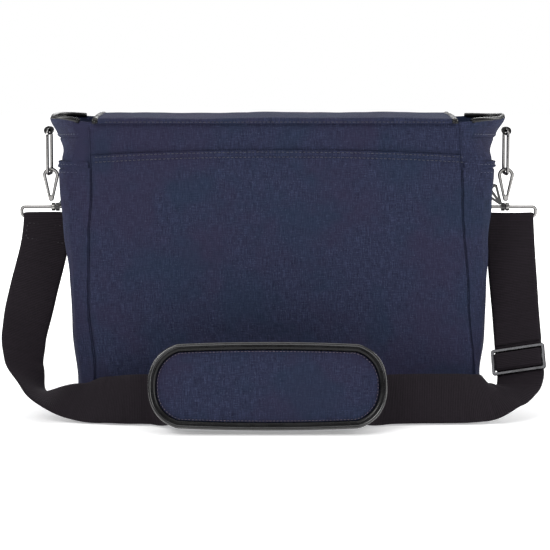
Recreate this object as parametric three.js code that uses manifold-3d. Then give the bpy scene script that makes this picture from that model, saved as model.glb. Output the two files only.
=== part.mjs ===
// Messenger style diaper bag with a fold-over flap, side bottle pockets and a
// hook-on shoulder strap that lies on the floor behind the bag.
// Millimetres, +Z up, +X to the right of someone looking at the bag's back, which
// faces -Y.  The origin is on the floor under the middle of the bag's body.

import * as THREE from 'three';
import { mergeVertices } from 'three/addons/utils/BufferGeometryUtils.js';
import Module from 'manifold-3d';

// ---------------------------------------------------------------- dimensions
const HALF_DEPTH = 62;          // middle of the bag to its back and front faces
const BODY_TOP = 292;           // top edge of the back panel
const WALL = 3;                 // fabric, foam and lining laid together
const SKIN = 1.6;               // one layer of pocket fabric
const GAP = 0.4;                // clearance between pieces that touch
const FLAP_HALF = 181;          // half the flap's width
const FLAP_THICK = 3.4;
const FLAP_DROP = 92;           // height of the flap's lower edge
const SLIP_POCKET_TOP = 261;
const BOTTLE_POCKET_TOP = 252;
const WEB_WIDTH = 49;           // shoulder strap webbing
const WEB_THICK = 1.8;
const RING_WIRE = 3;
const PAD_LENGTH = 232;
const PAD_WIDTH = 86;
const PAD_THICK = 18;
const HARDWARE_Y = 8;           // the strap hangs a little in front of the middle

const NAVY = 0x2c3047;
const BLACK_LINING = 0x17171a;
const WEB_COLOUR = 0x262027;
const PU_COLOUR = 0x19191c;
const NICKEL = 0xc9c9c6;

// ------------------------------------------------------------------ helpers
const wasm = await Module();
wasm.setup();

const bag = new THREE.Group();

const looks = {
  fabric: { color: NAVY, roughness: 0.9, metalness: 0 },
  lining: { color: BLACK_LINING, roughness: 0.8, metalness: 0 },
  webbing: { color: WEB_COLOUR, roughness: 0.85, metalness: 0 },
  leather: { color: PU_COLOUR, roughness: 0.45, metalness: 0 },
  nickel: { color: NICKEL, roughness: 0.2, metalness: 1 },
  coated: { color: 0x1c1c1e, roughness: 0.35, metalness: 0 },
};

function add(name, geometry, look) {
  const mesh = new THREE.Mesh(geometry, new THREE.MeshStandardMaterial(looks[look]));
  mesh.name = name;
  bag.add(mesh);
  return mesh;
}

function toSolid(geometry) {
  const plain = geometry.clone();
  plain.deleteAttribute('normal');
  plain.deleteAttribute('uv');
  const welded = mergeVertices(plain, 1e-4);
  return new wasm.Manifold(new wasm.Mesh({
    numProp: 3,
    vertProperties: new Float32Array(welded.attributes.position.array),
    triVerts: new Uint32Array(welded.index.array),
  }));
}

function toGeometry(solid) {
  const mesh = solid.getMesh();
  const geometry = new THREE.BufferGeometry();
  const points = new Float32Array(mesh.vertProperties);
  geometry.setAttribute('position', new THREE.BufferAttribute(points, 3));
  geometry.setIndex(new THREE.BufferAttribute(new Uint32Array(mesh.triVerts), 1));
  return geometry;
}

// Smooth value between (position, value) pairs.
function along(pairs, at) {
  if (at <= pairs[0][0]) return pairs[0][1];
  for (let i = 1; i < pairs.length; i += 1) {
    const [a, va] = pairs[i - 1];
    const [b, vb] = pairs[i];
    if (at <= b) {
      const t = (at - a) / (b - a);
      return va + (vb - va) * t * t * (3 - 2 * t);
    }
  }
  return pairs[pairs.length - 1][1];
}

// A closed sheet with an outer and an inner side.  outer(u, v) and inner(u, v) give
// the two sides' points for u and v from 0 to 1.
function sheet(outer, inner, columns, rows) {
  const positions = [];
  const index = [];
  for (const side of [outer, inner]) {
    for (let j = 0; j <= rows; j += 1) {
      for (let i = 0; i <= columns; i += 1) {
        const p = side(i / columns, j / rows);
        positions.push(p[0], p[1], p[2]);
      }
    }
  }
  const stride = columns + 1;
  const layer = stride * (rows + 1);
  const at = (i, j, side) => side * layer + j * stride + i;
  const quad = (a, b, c, d) => index.push(a, b, c, a, c, d);
  for (let j = 0; j < rows; j += 1) {
    for (let i = 0; i < columns; i += 1) {
      quad(at(i, j, 0), at(i + 1, j, 0), at(i + 1, j + 1, 0), at(i, j + 1, 0));
      quad(at(i, j, 1), at(i, j + 1, 1), at(i + 1, j + 1, 1), at(i + 1, j, 1));
    }
  }
  for (let i = 0; i < columns; i += 1) {
    quad(at(i, 0, 0), at(i, 0, 1), at(i + 1, 0, 1), at(i + 1, 0, 0));
    quad(at(i, rows, 0), at(i + 1, rows, 0), at(i + 1, rows, 1), at(i, rows, 1));
  }
  for (let j = 0; j < rows; j += 1) {
    quad(at(0, j, 0), at(0, j + 1, 0), at(0, j + 1, 1), at(0, j, 1));
    quad(at(columns, j, 0), at(columns, j, 1), at(columns, j + 1, 1), at(columns, j + 1, 0));
  }
  return facingOut(positions, index);
}

function signedVolume(positions, index) {
  let sum = 0;
  const a = new THREE.Vector3();
  const b = new THREE.Vector3();
  const c = new THREE.Vector3();
  for (let k = 0; k < index.length; k += 3) {
    a.fromArray(positions, index[k] * 3);
    b.fromArray(positions, index[k + 1] * 3);
    c.fromArray(positions, index[k + 2] * 3);
    sum += a.dot(b.cross(c));
  }
  return sum;
}

function facingOut(positions, index) {
  if (signedVolume(positions, index) < 0) {
    for (let k = 0; k < index.length; k += 3) {
      const swap = index[k + 1];
      index[k + 1] = index[k + 2];
      index[k + 2] = swap;
    }
  }
  const geometry = new THREE.BufferGeometry();
  geometry.setAttribute('position', new THREE.Float32BufferAttribute(positions, 3));
  geometry.setIndex(index);
  return geometry;
}

// A strip of webbing.  Each stop is [x, y, z, wx, wy, wz]: a point on the middle line
// and the direction across the strip.
function strip(stops, width, thick, steps) {
  const middle = new THREE.CatmullRomCurve3(
    stops.map((s) => new THREE.Vector3(s[0], s[1], s[2])), false, 'centripetal');
  const positions = [];
  const index = [];
  for (let k = 0; k <= steps; k += 1) {
    const t = k / steps;
    const p = middle.getPoint(t);
    const along3 = middle.getTangent(t);
    const w = interpolateAcross(stops, t);
    w.addScaledVector(along3, -w.dot(along3)).normalize();
    const n = new THREE.Vector3().crossVectors(along3, w).normalize();
    const corners = [[-1, -1], [1, -1], [1, 1], [-1, 1]];
    for (const [side, face] of corners) {
      const q = p.clone();
      q.addScaledVector(w, side * width / 2);
      q.addScaledVector(n, face * thick / 2);
      positions.push(q.x, q.y, q.z);
    }
  }
  for (let k = 0; k < steps; k += 1) {
    for (let c = 0; c < 4; c += 1) {
      const d = (c + 1) % 4;
      index.push(4 * k + c, 4 * k + d, 4 * k + 4 + d);
      index.push(4 * k + c, 4 * k + 4 + d, 4 * k + 4 + c);
    }
  }
  const last = 4 * steps;
  index.push(0, 2, 1, 0, 3, 2);
  index.push(last, last + 1, last + 2, last, last + 2, last + 3);
  return facingOut(positions, index);
}

function interpolateAcross(stops, t) {
  const place = t * (stops.length - 1);
  const i = Math.min(Math.floor(place), stops.length - 2);
  const f = place - i;
  const ease = f * f * (3 - 2 * f);
  const a = new THREE.Vector3(...stops[i].slice(3, 6)).normalize();
  const b = new THREE.Vector3(...stops[i + 1].slice(3, 6)).normalize();
  return a.lerp(b, ease).normalize();
}

function roundedRect(width, height, radius) {
  const shape = new THREE.Shape();
  const x = width / 2;
  const y = height / 2;
  shape.moveTo(-x + radius, -y);
  shape.lineTo(x - radius, -y);
  shape.absarc(x - radius, -y + radius, radius, -Math.PI / 2, 0, false);
  shape.lineTo(x, y - radius);
  shape.absarc(x - radius, y - radius, radius, 0, Math.PI / 2, false);
  shape.lineTo(-x + radius, y);
  shape.absarc(-x + radius, y - radius, radius, Math.PI / 2, Math.PI, false);
  shape.lineTo(-x, -y + radius);
  shape.absarc(-x + radius, -y + radius, radius, Math.PI, Math.PI * 1.5, false);
  return shape;
}

// A flat outline made into a plate with eased edges, centred on its thickness.
function plate(shape, thick, bevel, segments = 4) {
  const geometry = new THREE.ExtrudeGeometry(shape, {
    depth: thick - 2 * bevel,
    bevelEnabled: bevel > 0,
    bevelThickness: bevel,
    bevelSize: bevel,
    bevelOffset: -bevel,
    bevelSegments: 1,
    curveSegments: segments,
  });
  geometry.translate(0, 0, -(thick - 2 * bevel) / 2);
  return geometry;
}

// A wire bent to a closed outline: the outline less the same outline drawn smaller.
function wireLoop(width, height, radius, wire) {
  const shape = roundedRect(width, height, radius);
  shape.holes.push(roundedRect(width - 2 * wire, height - 2 * wire, Math.max(radius - wire, 0.6)));
  return plate(shape, wire, wire * 0.3, 3);
}

// ------------------------------------------------------- outline of the body
// Where the back panel's side seams run, by height, for the left and the right.
const SEAM = {
  left: [[0, -181], [45, -182], [110, -188], [180, -187], [225, -184], [300, -186]],
  right: [[0, 202], [40, 201], [115, 195], [215, 188], [300, 185]],
};
// How far the sides reach, by height, over the bottle pocket and the flared top.
const REACH = {
  left: [[0, -196], [30, -200], [90, -205], [140, -208], [195, -214], [240, -217],
    [262, -217], [280, -221], [298, -228.5]],
  right: [[0, 205], [40, 208], [95, 213], [170, 215], [215, 218], [240, 220],
    [262, 221], [280, 225], [298, 234]],
};
// The fullest part of each side is behind its middle, so the strap's hardware hangs
// in the hollow in front of it.  Towards the top it moves to the middle.
const FULL_AT = -34;
const sides = { left: -1, right: 1 };

function smooth(low, high, at) {
  const t = Math.min(Math.max((at - low) / (high - low), 0), 1);
  return t * t * (3 - 2 * t);
}

function hump(y, peak, power) {
  const reach = y < peak ? peak + HALF_DEPTH : HALF_DEPTH - peak;
  const t = Math.min(Math.abs(y - peak) / reach, 1);
  return Math.pow(1 - Math.pow(t, power), 0.8);
}

function fullness(y, z) {
  const low = hump(y, FULL_AT, y < FULL_AT ? 2.4 : 1.2);
  const high = hump(y, HARDWARE_Y, 2.2);
  return low + (high - low) * smooth(245, 285, z);
}

function sideX(side, y, z) {
  const seam = along(SEAM[side], z);
  return seam + (along(REACH[side], z) - seam) * fullness(y, z);
}

// The gusset's own cloth stands flatter, under the bottle pocket's bulge.
const FLAT = {
  left: [[0, 2.4], [60, 4.5], [200, 12], [228, 11.5], [262, 0]],
  right: [[0, 2.4], [60, 4.5], [200, 9], [230, 8.6], [262, 0]],
};
function gussetX(side, y, z) {
  const hollow = Math.max(along(FLAT[side], z) * fullness(y, z), 0);
  const under = (SKIN + 0.8) * (1 - smooth(BOTTLE_POCKET_TOP, BOTTLE_POCKET_TOP + 6, z));
  return sideX(side, y, z) - sides[side] * Math.max(hollow, under);
}

function backY(x, z) {
  const across = 1 - Math.pow(Math.abs(x) / 205, 2);
  const up = Math.sin(Math.PI * Math.min(z / 300, 1));
  return -HALF_DEPTH + 5 - 4 * across * up;
}

// ----------------------------------------------------------------- the body
const lerp = (a, b, t) => a + (b - a) * t;
// Pieces that lie on each other share these heights, so their facets stay parallel.
const SIDE_ROWS = [4, 50, 100, 150, 200, BOTTLE_POCKET_TOP];
const SIDE_TOP_ROWS = [262, 280, 297];
const BACK_ROWS = [4, 68, 132, 196, SLIP_POCKET_TOP];
const SIDE_EDGE = HALF_DEPTH - 5 - WALL - 2 * GAP;
const row = (rows, v) => rows[Math.round(v * (rows.length - 1))];
const panelX = (u, z) => lerp(along(SEAM.left, z) + 1, along(SEAM.right, z) - 1, u);

function panel(rows, place) {
  return (u, v) => {
    const z = row(rows, v);
    const x = panelX(u, z);
    return [x, place(x, z), z];
  };
}

const backRows = [...BACK_ROWS, BODY_TOP];
add('back_panel', sheet(
  panel(backRows, (x, z) => backY(x, z)),
  panel(backRows, (x, z) => backY(x, z) + WALL), 8, backRows.length - 1), 'fabric');

// The slip pocket lies flat on the back panel, open along its top.
add('back_slip_pocket', sheet(
  panel(BACK_ROWS, (x, z) => backY(x, z) - 0.7 - SKIN),
  panel(BACK_ROWS, (x, z) => backY(x, z) - 0.7), 8, BACK_ROWS.length - 1), 'fabric');

const frontRows = [...BACK_ROWS, BODY_TOP - 4];
add('front_panel', sheet(
  panel(frontRows, (x, z) => -backY(x, z)),
  panel(frontRows, (x, z) => -backY(x, z) - WALL), 8, frontRows.length - 1), 'fabric');

for (const side of ['left', 'right']) {
  const out = sides[side];
  const wall = (rows, reach, inset) => (u, v) => {
    const z = row(rows, v);
    const y = lerp(-SIDE_EDGE, SIDE_EDGE, u);
    return [reach(side, y, z) - out * inset, y, z];
  };
  const gussetRows = [...SIDE_ROWS, BOTTLE_POCKET_TOP + 6, ...SIDE_TOP_ROWS];
  add(`gusset_${side}`, sheet(wall(gussetRows, gussetX, 0), wall(gussetRows, gussetX, WALL),
    8, gussetRows.length - 1), 'fabric');
  add(`bottle_pocket_${side}`, sheet(wall(SIDE_ROWS, sideX, 0), wall(SIDE_ROWS, sideX, SKIN),
    8, SIDE_ROWS.length - 1), 'fabric');

  // Black tape folded over the gusset's top edge.
  add(`gusset_binding_${side}`, sheet(
    (u, v) => {
      const y = lerp(-SIDE_EDGE, SIDE_EDGE, u);
      return [gussetX(side, y, 297) + out * 0.6, y, lerp(297.4, 300, v)];
    },
    (u, v) => {
      const y = lerp(-SIDE_EDGE, SIDE_EDGE, u);
      return [gussetX(side, y, 297) - out * (WALL + 0.6), y, lerp(297.4, 300, v)];
    }, 8, 1), 'leather');
}

// The floor of the bag: the cloth base, and the stiffening board that lies on it.
function floorOutline(inset, side, y, z) {
  return gussetX(side, y, z) - sides[side] * inset;
}
function floorSlab(low, high, inset, edge) {
  const point = (z) => (u, v) => {
    const y = lerp(-edge, edge, v);
    const x = lerp(floorOutline(inset, 'left', y, 4), floorOutline(inset, 'right', y, 4), u);
    return [x, y, z];
  };
  return sheet(point(high), point(low), 4, 8);
}
add('base_panel', floorSlab(0, 3.4, 0.5, HALF_DEPTH - 5), 'fabric');
add('base_board', floorSlab(4, 6.6, WALL + 2, HALF_DEPTH - 10), 'lining');

// The lining is a thin black tub hung inside the body.
const LINING_TOP = 284;
const TUB_HEIGHTS = [...SIDE_ROWS.slice(1), BOTTLE_POCKET_TOP + 6, 262, 280, LINING_TOP];
function tub(inset, low, above) {
  const edge = SIDE_EDGE - inset;
  const columns = 8;
  const outline = [];
  for (let k = 0; k < 2; k += 1) outline.push([lerp(-1, 1, k / 2), -1]);
  for (let k = 0; k < columns; k += 1) outline.push([1, lerp(-1, 1, k / columns)]);
  for (let k = 0; k < 2; k += 1) outline.push([lerp(1, -1, k / 2), 1]);
  for (let k = 0; k < columns; k += 1) outline.push([-1, lerp(1, -1, k / columns)]);
  const heights = [low, ...TUB_HEIGHTS];
  if (above > 0) heights.push(LINING_TOP + above);
  const positions = [];
  const index = [];
  for (const z of heights) {
    const level = Math.min(Math.max(z, 8), LINING_TOP);
    for (const [a, b] of outline) {
      const y = b * edge;
      const left = gussetX('left', y, level) + WALL + inset;
      const right = gussetX('right', y, level) - WALL - inset;
      positions.push(lerp(left, right, (a + 1) / 2), y, z);
    }
  }
  const ring = outline.length;
  for (let j = 0; j + 1 < heights.length; j += 1) {
    for (let k = 0; k < ring; k += 1) {
      const a = j * ring + k;
      const b = j * ring + (k + 1) % ring;
      index.push(a, b, b + ring, a, b + ring, a + ring);
    }
  }
  const floor = positions.length / 3;
  positions.push(0, 0, low, 0, 0, heights[heights.length - 1]);
  const top = (heights.length - 1) * ring;
  for (let k = 0; k < ring; k += 1) {
    index.push(floor, (k + 1) % ring, k);
    index.push(floor + 1, top + k, top + (k + 1) % ring);
  }
  return toSolid(facingOut(positions, index));
}
add('lining', toGeometry(tub(2.3, 7, 0).subtract(tub(3.5, 8.2, 5))), 'lining');

// Organiser pocket sewn on the inside of the back wall.
const organiserY = -HALF_DEPTH + 5 + WALL + 7.6;
const organiser = new THREE.BoxGeometry(300, SKIN, 130);
organiser.translate(0, organiserY, 140);
add('organiser_pocket', organiser, 'lining');

// Two patch pockets lie on the front, under the flap.
for (const side of ['left', 'right']) {
  const out = sides[side];
  const pocket = (extra) => (u, v) => {
    const z = lerp(14, 200, v);
    const x = out * lerp(8, 166, u);
    return [x, -backY(x, z) + 0.7 + extra, z];
  };
  add(`front_pocket_${side}`, sheet(pocket(SKIN), pocket(0), 5, 5), 'fabric');
}

// ------------------------------------------------------------------ the flap
const FLAP_BACK = -HALF_DEPTH + 3.4;
const FLAP_FRONT = HALF_DEPTH + 6;
function flapTopZ(x, y) {
  const t = (y - FLAP_BACK) / (FLAP_FRONT - FLAP_BACK);
  const wave = 0.9 * Math.sin(x * 0.019 + 0.6) * Math.sin(Math.PI * t);
  return 294.6 + 4.4 * Math.sin(Math.PI * Math.min(t * 1.15, 1)) + wave;
}
const flapTop = (lift) => (u, v) => {
  const x = lerp(-FLAP_HALF, FLAP_HALF, u);
  const y = lerp(FLAP_BACK, FLAP_FRONT, v);
  return [x, y, flapTopZ(x, y) + lift];
};
add('flap_top', sheet(flapTop(FLAP_THICK), flapTop(0), 10, 6), 'fabric');

const FLAP_FACE_TOP = 293.8;
const flapFront = (off) => (u, v) => {
  const x = lerp(-FLAP_HALF, FLAP_HALF, u);
  const round = 26;
  const side = Math.max(Math.abs(x) - (FLAP_HALF - round), 0);
  const lift = round - Math.sqrt(Math.max(round * round - side * side, 0));
  const z = lerp(FLAP_FACE_TOP, FLAP_DROP + lift, v);
  const bow = 3 * Math.sin(Math.PI * v) * (1 - Math.pow(x / 200, 2));
  return [x, FLAP_FRONT - 2 + bow + off, z];
};
add('flap_front', sheet(flapFront(FLAP_THICK), flapFront(0), 12, 6), 'fabric');

// Zipped pocket across the flap: tape with its teeth, slider and pull.
const ZIP_Z = 214;
const ZIP_HALF = 120;
const zipFace = FLAP_FRONT + 1 + FLAP_THICK + 0.4;
function zipY(x, z) {
  const v = (FLAP_FACE_TOP - z) / (FLAP_FACE_TOP - FLAP_DROP);
  const bow = 3 * Math.sin(Math.PI * v) * (1 - Math.pow(x / 200, 2));
  return FLAP_FRONT - 2 + bow + FLAP_THICK;
}
const tape = new THREE.BoxGeometry(2 * ZIP_HALF, 1.4, 14);
tape.translate(0, zipFace + 0.9, ZIP_Z);
add('zip_tape', tape, 'lining');

const ZIP_SLIDER_X = -108;
const zipBody = plate(roundedRect(11, 8, 2.5), 3.2, 0.6);
zipBody.rotateX(Math.PI / 2);
zipBody.translate(ZIP_SLIDER_X, zipFace + 0.9 + 0.7 + 0.4 + 1.6, ZIP_Z);
add('zip_slider', zipBody, 'nickel');
const pullShape = roundedRect(7, 26, 3);
pullShape.holes.push(roundedRect(3.4, 7, 1.6));
const pull = plate(pullShape, 1.6, 0, 3);
pull.rotateX(Math.PI / 2);
pull.translate(ZIP_SLIDER_X, zipFace + 0.9 + 0.7 + 0.4 + 3.2 + 1.1 + 0.8, ZIP_Z - 9);
add('zip_pull', pull, 'nickel');

// Magnetic snaps hold the flap down: one half on the flap, the other on the bag.
const SNAP_X = 88;
const SNAP_Z = 228;
for (const side of ['left', 'right']) {
  const x = sides[side] * SNAP_X;
  const onFlap = new THREE.CylinderGeometry(8, 8, 2, 20);
  onFlap.translate(x, zipY(x, SNAP_Z) - FLAP_THICK - 1.5, SNAP_Z);
  add(`snap_flap_${side}`, onFlap, 'nickel');
  const onBag = new THREE.CylinderGeometry(8.5, 8.5, 2.4, 20);
  onBag.translate(x, -backY(x, SNAP_Z) + 1.7, SNAP_Z);
  add(`snap_bag_${side}`, onBag, 'nickel');
}

// -------------------------------------------------------- strap end hardware
// Middle of each strap end, from the tab down to the wide loop.
const ENDS = {
  left: { tab: [-232.2, 283.5], hook: -230.2, swivel: -228, loop: -234 },
  right: { tab: [237.6, 283], hook: 237.2, swivel: 239, loop: 241.5 },
};
const RING_TURN = THREE.MathUtils.degToRad(5);
const HOOK_TOP = 245;
const HOOK_BOTTOM = 211;
const LOOP_TOP = 206.5;
const LOOP_HEIGHT = 13;
const LOOP_WIDTH = 56.5;
const LOOP_WIRE = 3.2;

function pearShape(topRadius, height, neckRadius) {
  const shape = new THREE.Shape();
  const cy = height - topRadius;
  shape.moveTo(neckRadius, neckRadius);
  shape.lineTo(topRadius, cy);
  shape.absarc(0, cy, topRadius, 0, Math.PI, false);
  shape.lineTo(-neckRadius, neckRadius);
  shape.absarc(0, neckRadius, neckRadius, Math.PI, Math.PI * 2, false);
  return shape;
}

function pearHole(topRadius, height, low) {
  const hole = new THREE.Path();
  const cy = height - topRadius;
  hole.moveTo(1.0, low);
  hole.lineTo(topRadius, cy);
  hole.absarc(0, cy, topRadius, 0, Math.PI, false);
  hole.lineTo(-1.0, low);
  return hole;
}

for (const side of ['left', 'right']) {
  const out = sides[side];
  const end = ENDS[side];
  const [tabX, tabZ] = end.tab;

  // Leather tab: a doubled strip with the ring's top bar inside its fold.
  const tabShape = roundedRect(9.6, 8.4, 4);
  const tabHole = new THREE.Path();
  tabHole.absarc(-out * 0.2, -0.2, 2.3, 0, Math.PI * 2, true);
  const tabOutline = new THREE.Shape(tabShape.getPoints(3));
  tabOutline.holes.push(tabHole);
  const tab = plate(tabOutline, 11, 0, 6);
  tab.rotateX(Math.PI / 2);
  tab.translate(tabX - out * 0.6, HARDWARE_Y, tabZ);
  add(`tab_${side}`, tab, 'leather');

  // Oval ring, standing edge on to the bag's back.
  const ringHeight = tabZ + 1.6 - 237.5;
  const ring = wireLoop(26, ringHeight, 7, RING_WIRE);
  ring.rotateX(Math.PI / 2);
  ring.rotateZ(Math.PI / 2 + out * RING_TURN);
  ring.translate(tabX - out * 0.8, HARDWARE_Y, tabZ + 1.6 - ringHeight / 2);
  add(`ring_${side}`, ring, 'nickel');

  // Snap hook: a pear shaped frame whose outer side is the sprung gate.
  const outline = pearShape(8, HOOK_TOP - HOOK_BOTTOM, 2.4);
  outline.holes.push(pearHole(8 - 2.7, HOOK_TOP - HOOK_BOTTOM - 2.7, 5.6));
  const frame = plate(outline, 3.4, 0.7, 6);
  frame.rotateX(Math.PI / 2);
  frame.translate(end.hook, HARDWARE_Y, HOOK_BOTTOM);
  const whole = toSolid(frame);
  const gateLow = HOOK_BOTTOM + 8.2;
  const gateHigh = HOOK_TOP - 11.5;
  const cut = new THREE.BoxGeometry(9, 6, gateHigh - gateLow);
  cut.translate(end.hook + out * 6, HARDWARE_Y, (gateLow + gateHigh) / 2);
  const kept = new THREE.BoxGeometry(8.6, 6, gateHigh - gateLow - 1.4);
  kept.translate(end.hook + out * 6, HARDWARE_Y, (gateLow + gateHigh) / 2);
  add(`hook_${side}`, toGeometry(whole.subtract(toSolid(cut))), 'nickel');
  add(`hook_gate_${side}`, toGeometry(whole.intersect(toSolid(kept))), 'nickel');

  // Swivel: a short barrel under the hook, then an eye round the wide loop's top bar.
  const eyeOutline = new THREE.Shape();
  eyeOutline.absarc(0, 0, 4.2, 0, Math.PI * 2, false);
  const eyeHole = new THREE.Path();
  eyeHole.absarc(0, 0, 2.1, 0, Math.PI * 2, true);
  eyeOutline.holes.push(eyeHole);
  const eye = plate(eyeOutline, 4, 0.5, 8);
  eye.rotateY(Math.PI / 2);
  eye.translate(end.swivel, HARDWARE_Y, LOOP_TOP - LOOP_WIRE / 2);
  add(`swivel_${side}`, eye, 'nickel');

  const loop = wireLoop(LOOP_WIDTH, LOOP_HEIGHT, 5, LOOP_WIRE);
  loop.rotateX(Math.PI / 2);
  loop.translate(end.loop, HARDWARE_Y, LOOP_TOP - LOOP_HEIGHT / 2);
  add(`strap_loop_${side}`, loop, 'nickel');
}

// Stroller clip: a black coated wedge of three bars on the wide loop's top bar.
function clipOutline() {
  const shape = new THREE.Shape();
  shape.moveTo(3.4, -1.5);
  shape.lineTo(22, -8.4);
  shape.lineTo(24.6, -6.6);
  shape.lineTo(24.6, 6.6);
  shape.lineTo(22, 8.4);
  shape.lineTo(3.4, 1.5);
  for (const up of [1, -1]) {
    const slot = new THREE.Path();
    slot.moveTo(10.5, up * 1.4);
    slot.lineTo(21.6, up * 1.4);
    slot.lineTo(21.6, up * 5.6);
    slot.closePath();
    shape.holes.push(slot);
  }
  return shape;
}
const CLIP_RAISE = { left: 14, right: 126 };
const CLIP_SWING = { left: 70, right: 0 };
for (const side of ['left', 'right']) {
  const out = sides[side];
  const body = plate(clipOutline(), 2.4, 0);
  body.rotateX(Math.PI / 2);
  body.rotateY(THREE.MathUtils.degToRad(-CLIP_RAISE[side]));
  body.rotateZ(THREE.MathUtils.degToRad(CLIP_SWING[side]));
  const lugX = ENDS[side].swivel - out * 4.6;
  const barZ = LOOP_TOP - LOOP_WIRE / 2;
  body.translate(lugX, HARDWARE_Y, barZ);
  const lug = new THREE.CylinderGeometry(4.4, 4.4, 4, 16);
  lug.rotateZ(Math.PI / 2);
  lug.translate(lugX, HARDWARE_Y, barZ);
  const bore = new THREE.CylinderGeometry(2.1, 2.1, 5, 12);
  bore.rotateZ(Math.PI / 2);
  bore.translate(lugX, HARDWARE_Y, barZ);
  const clip = toSolid(body).add(toSolid(lug)).subtract(toSolid(bore));
  add(`stroller_clip_${side}`, toGeometry(clip), 'coated');
}

// ---------------------------------------------------------------- the strap
// Stops along the webbing's middle line with the direction from its outer to its
// inner edge.  It hangs from the loops, turns on the floor and stands on edge there.
const BAR_Z = LOOP_TOP - LOOP_HEIGHT + LOOP_WIRE / 2;
const OVER = LOOP_WIRE / 2 + 0.8 + WEB_THICK / 2;
function overBar(x, across, from) {
  const stops = [];
  for (let k = 0; k <= 6; k += 1) {
    const turn = Math.PI * (k - 1) / 4;
    const y = HARDWARE_Y + from * OVER * Math.cos(Math.min(Math.max(turn, 0), Math.PI));
    const z = BAR_Z + (k === 0 || k === 6 ? -3 : OVER * Math.sin(turn));
    stops.push([x, y, z, across, 0, 0]);
  }
  return stops;
}
const leftStops = [
  [-235, HARDWARE_Y + OVER + 0.8, 168, 1, 0, -0.1],
  ...overBar(ENDS.left.loop, 1, 1),
  [-237, HARDWARE_Y - OVER - 3, 166, 1, 0, -0.12],
  [-248, -14, 118, 0.98, 0.1, -0.16],
  [-255, -38, 76, 0.84, 0.54, -0.1],
  [-253, -56, 52, 0.62, 0.78, 0],
  [-238, -76, 26, 0.04, 0.99, 0.1],
  [-200, -84, 19, -0.02, 0.83, 0.56],
  [-168, -98, 22.5, 0, 0.53, 0.85],
  [-136, -108.9, 25, 0, 0.26, 0.96],
  [-128, -110, 25.2, 0, 0.24, 0.97],
];
add('webbing_left', strip(leftStops, WEB_WIDTH, WEB_THICK, 3 * (leftStops.length - 1)),
  'webbing');

// Behind the shoulder pad the strap leans with it.
const LEAN = THREE.MathUtils.degToRad(14);
const PAD_X = -7;
const PAD_Y = -149;
const PAD_Z = PAD_WIDTH / 2 * Math.cos(LEAN) + PAD_THICK / 2 * Math.sin(LEAN) + 0.6;
const KEEPER_X = 60;
const KEEPER_WIDTH = 22;
const KEEPER_WALL = 1.4;
const BACKING = 2;
const webLean = [0, Math.sin(LEAN), Math.cos(LEAN)];
// Distance from the pad's middle plane back to the webbing's middle.
const webBack = PAD_THICK / 2 + 1 + GAP + BACKING + GAP + KEEPER_WALL + GAP + WEB_THICK / 2;
const KEEPER_HALF = WEB_WIDTH / 2 + 2.5;
const webDown = (PAD_Z - webBack * Math.sin(LEAN) - 2.8) / Math.cos(LEAN) - KEEPER_HALF;
const runY = PAD_Y + webBack * Math.cos(LEAN) - webDown * Math.sin(LEAN);
const runZ = PAD_Z - webBack * Math.sin(LEAN) - webDown * Math.cos(LEAN);
const straight = KEEPER_X + KEEPER_WIDTH / 2 + 14;
const runStops = [
  [-126.4, -110.3, 25.2, 0, 0.24, 0.97],
  [-120, -112.2, 25.2, 0, 0.24, 0.97],
  [-111, -119, 25.2, 0, 0.24, 0.97],
  [PAD_X - straight - 7, runY + 2.4, runZ, ...webLean],
  [PAD_X - straight, runY, runZ, ...webLean],
  [PAD_X - straight + 9, runY, runZ, ...webLean],
  [PAD_X, runY, runZ, ...webLean],
  [PAD_X + straight - 9, runY, runZ, ...webLean],
  [PAD_X + straight, runY, runZ, ...webLean],
  [PAD_X + straight + 7, runY + 2.4, runZ, ...webLean],
  [98, -118.5, 25.2, 0, 0.24, 0.97],
  [114, -111, 25.2, 0, 0.24, 0.97],
  [142, -107.4, 25.2, 0, 0.2, 0.98],
  [150, -107, 25.2, 0, 0.2, 0.98],
];
add('webbing_run', strip(runStops, WEB_WIDTH, WEB_THICK, 3 * (runStops.length - 1)), 'webbing');

// The right leg is doubled: it goes up behind the slide adjuster, over the wide
// loop's bar and down again to the adjuster.
const legAcross = [-0.92, 0.34, -0.18];
const leg = (z, off) => [247 + (z - 46) * -0.048, -57 + (z - 46) * 0.456 - off, z];
const rightStops = [
  [150.6, -107, 25.2, 0, 0.2, 0.98],
  [158, -106.6, 25.2, 0, 0.21, 0.98],
  [178, -105, 25, -0.02, 0.26, 0.96],
  [204, -99, 24.5, -0.1, 0.45, 0.88],
  [230, -84, 25.5, -0.3, 0.88, 0.34],
  [243, -71, 29.5, -0.75, 0.62, 0.05],
  [...leg(38, 0), ...legAcross],
  [...leg(68, 0), ...legAcross],
  [...leg(100, 0), ...legAcross],
  [241.8, -4, 162, -1, 0.1, -0.05],
  [241.5, HARDWARE_Y + OVER - 0.2, BAR_Z - 9, -1, 0, 0],
  [241.5, HARDWARE_Y + OVER, BAR_Z - 3.5, -1, 0, 0],
];
add('webbing_right_back', strip(rightStops, WEB_WIDTH, WEB_THICK, 3 * (rightStops.length - 1)),
  'webbing');

const LAYERS = 3.1;             // from the back layer to the front one
const frontStops = [
  ...overBar(ENDS.right.loop, -1, 1),
  [241.8, -4 - LAYERS - 0.6, 162, -1, 0.1, -0.05],
  [...leg(100, LAYERS), ...legAcross],
  [...leg(72, LAYERS), ...legAcross],
];
add('webbing_right_front', strip(frontStops, WEB_WIDTH, WEB_THICK, 2 * (frontStops.length - 1)),
  'webbing');

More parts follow.
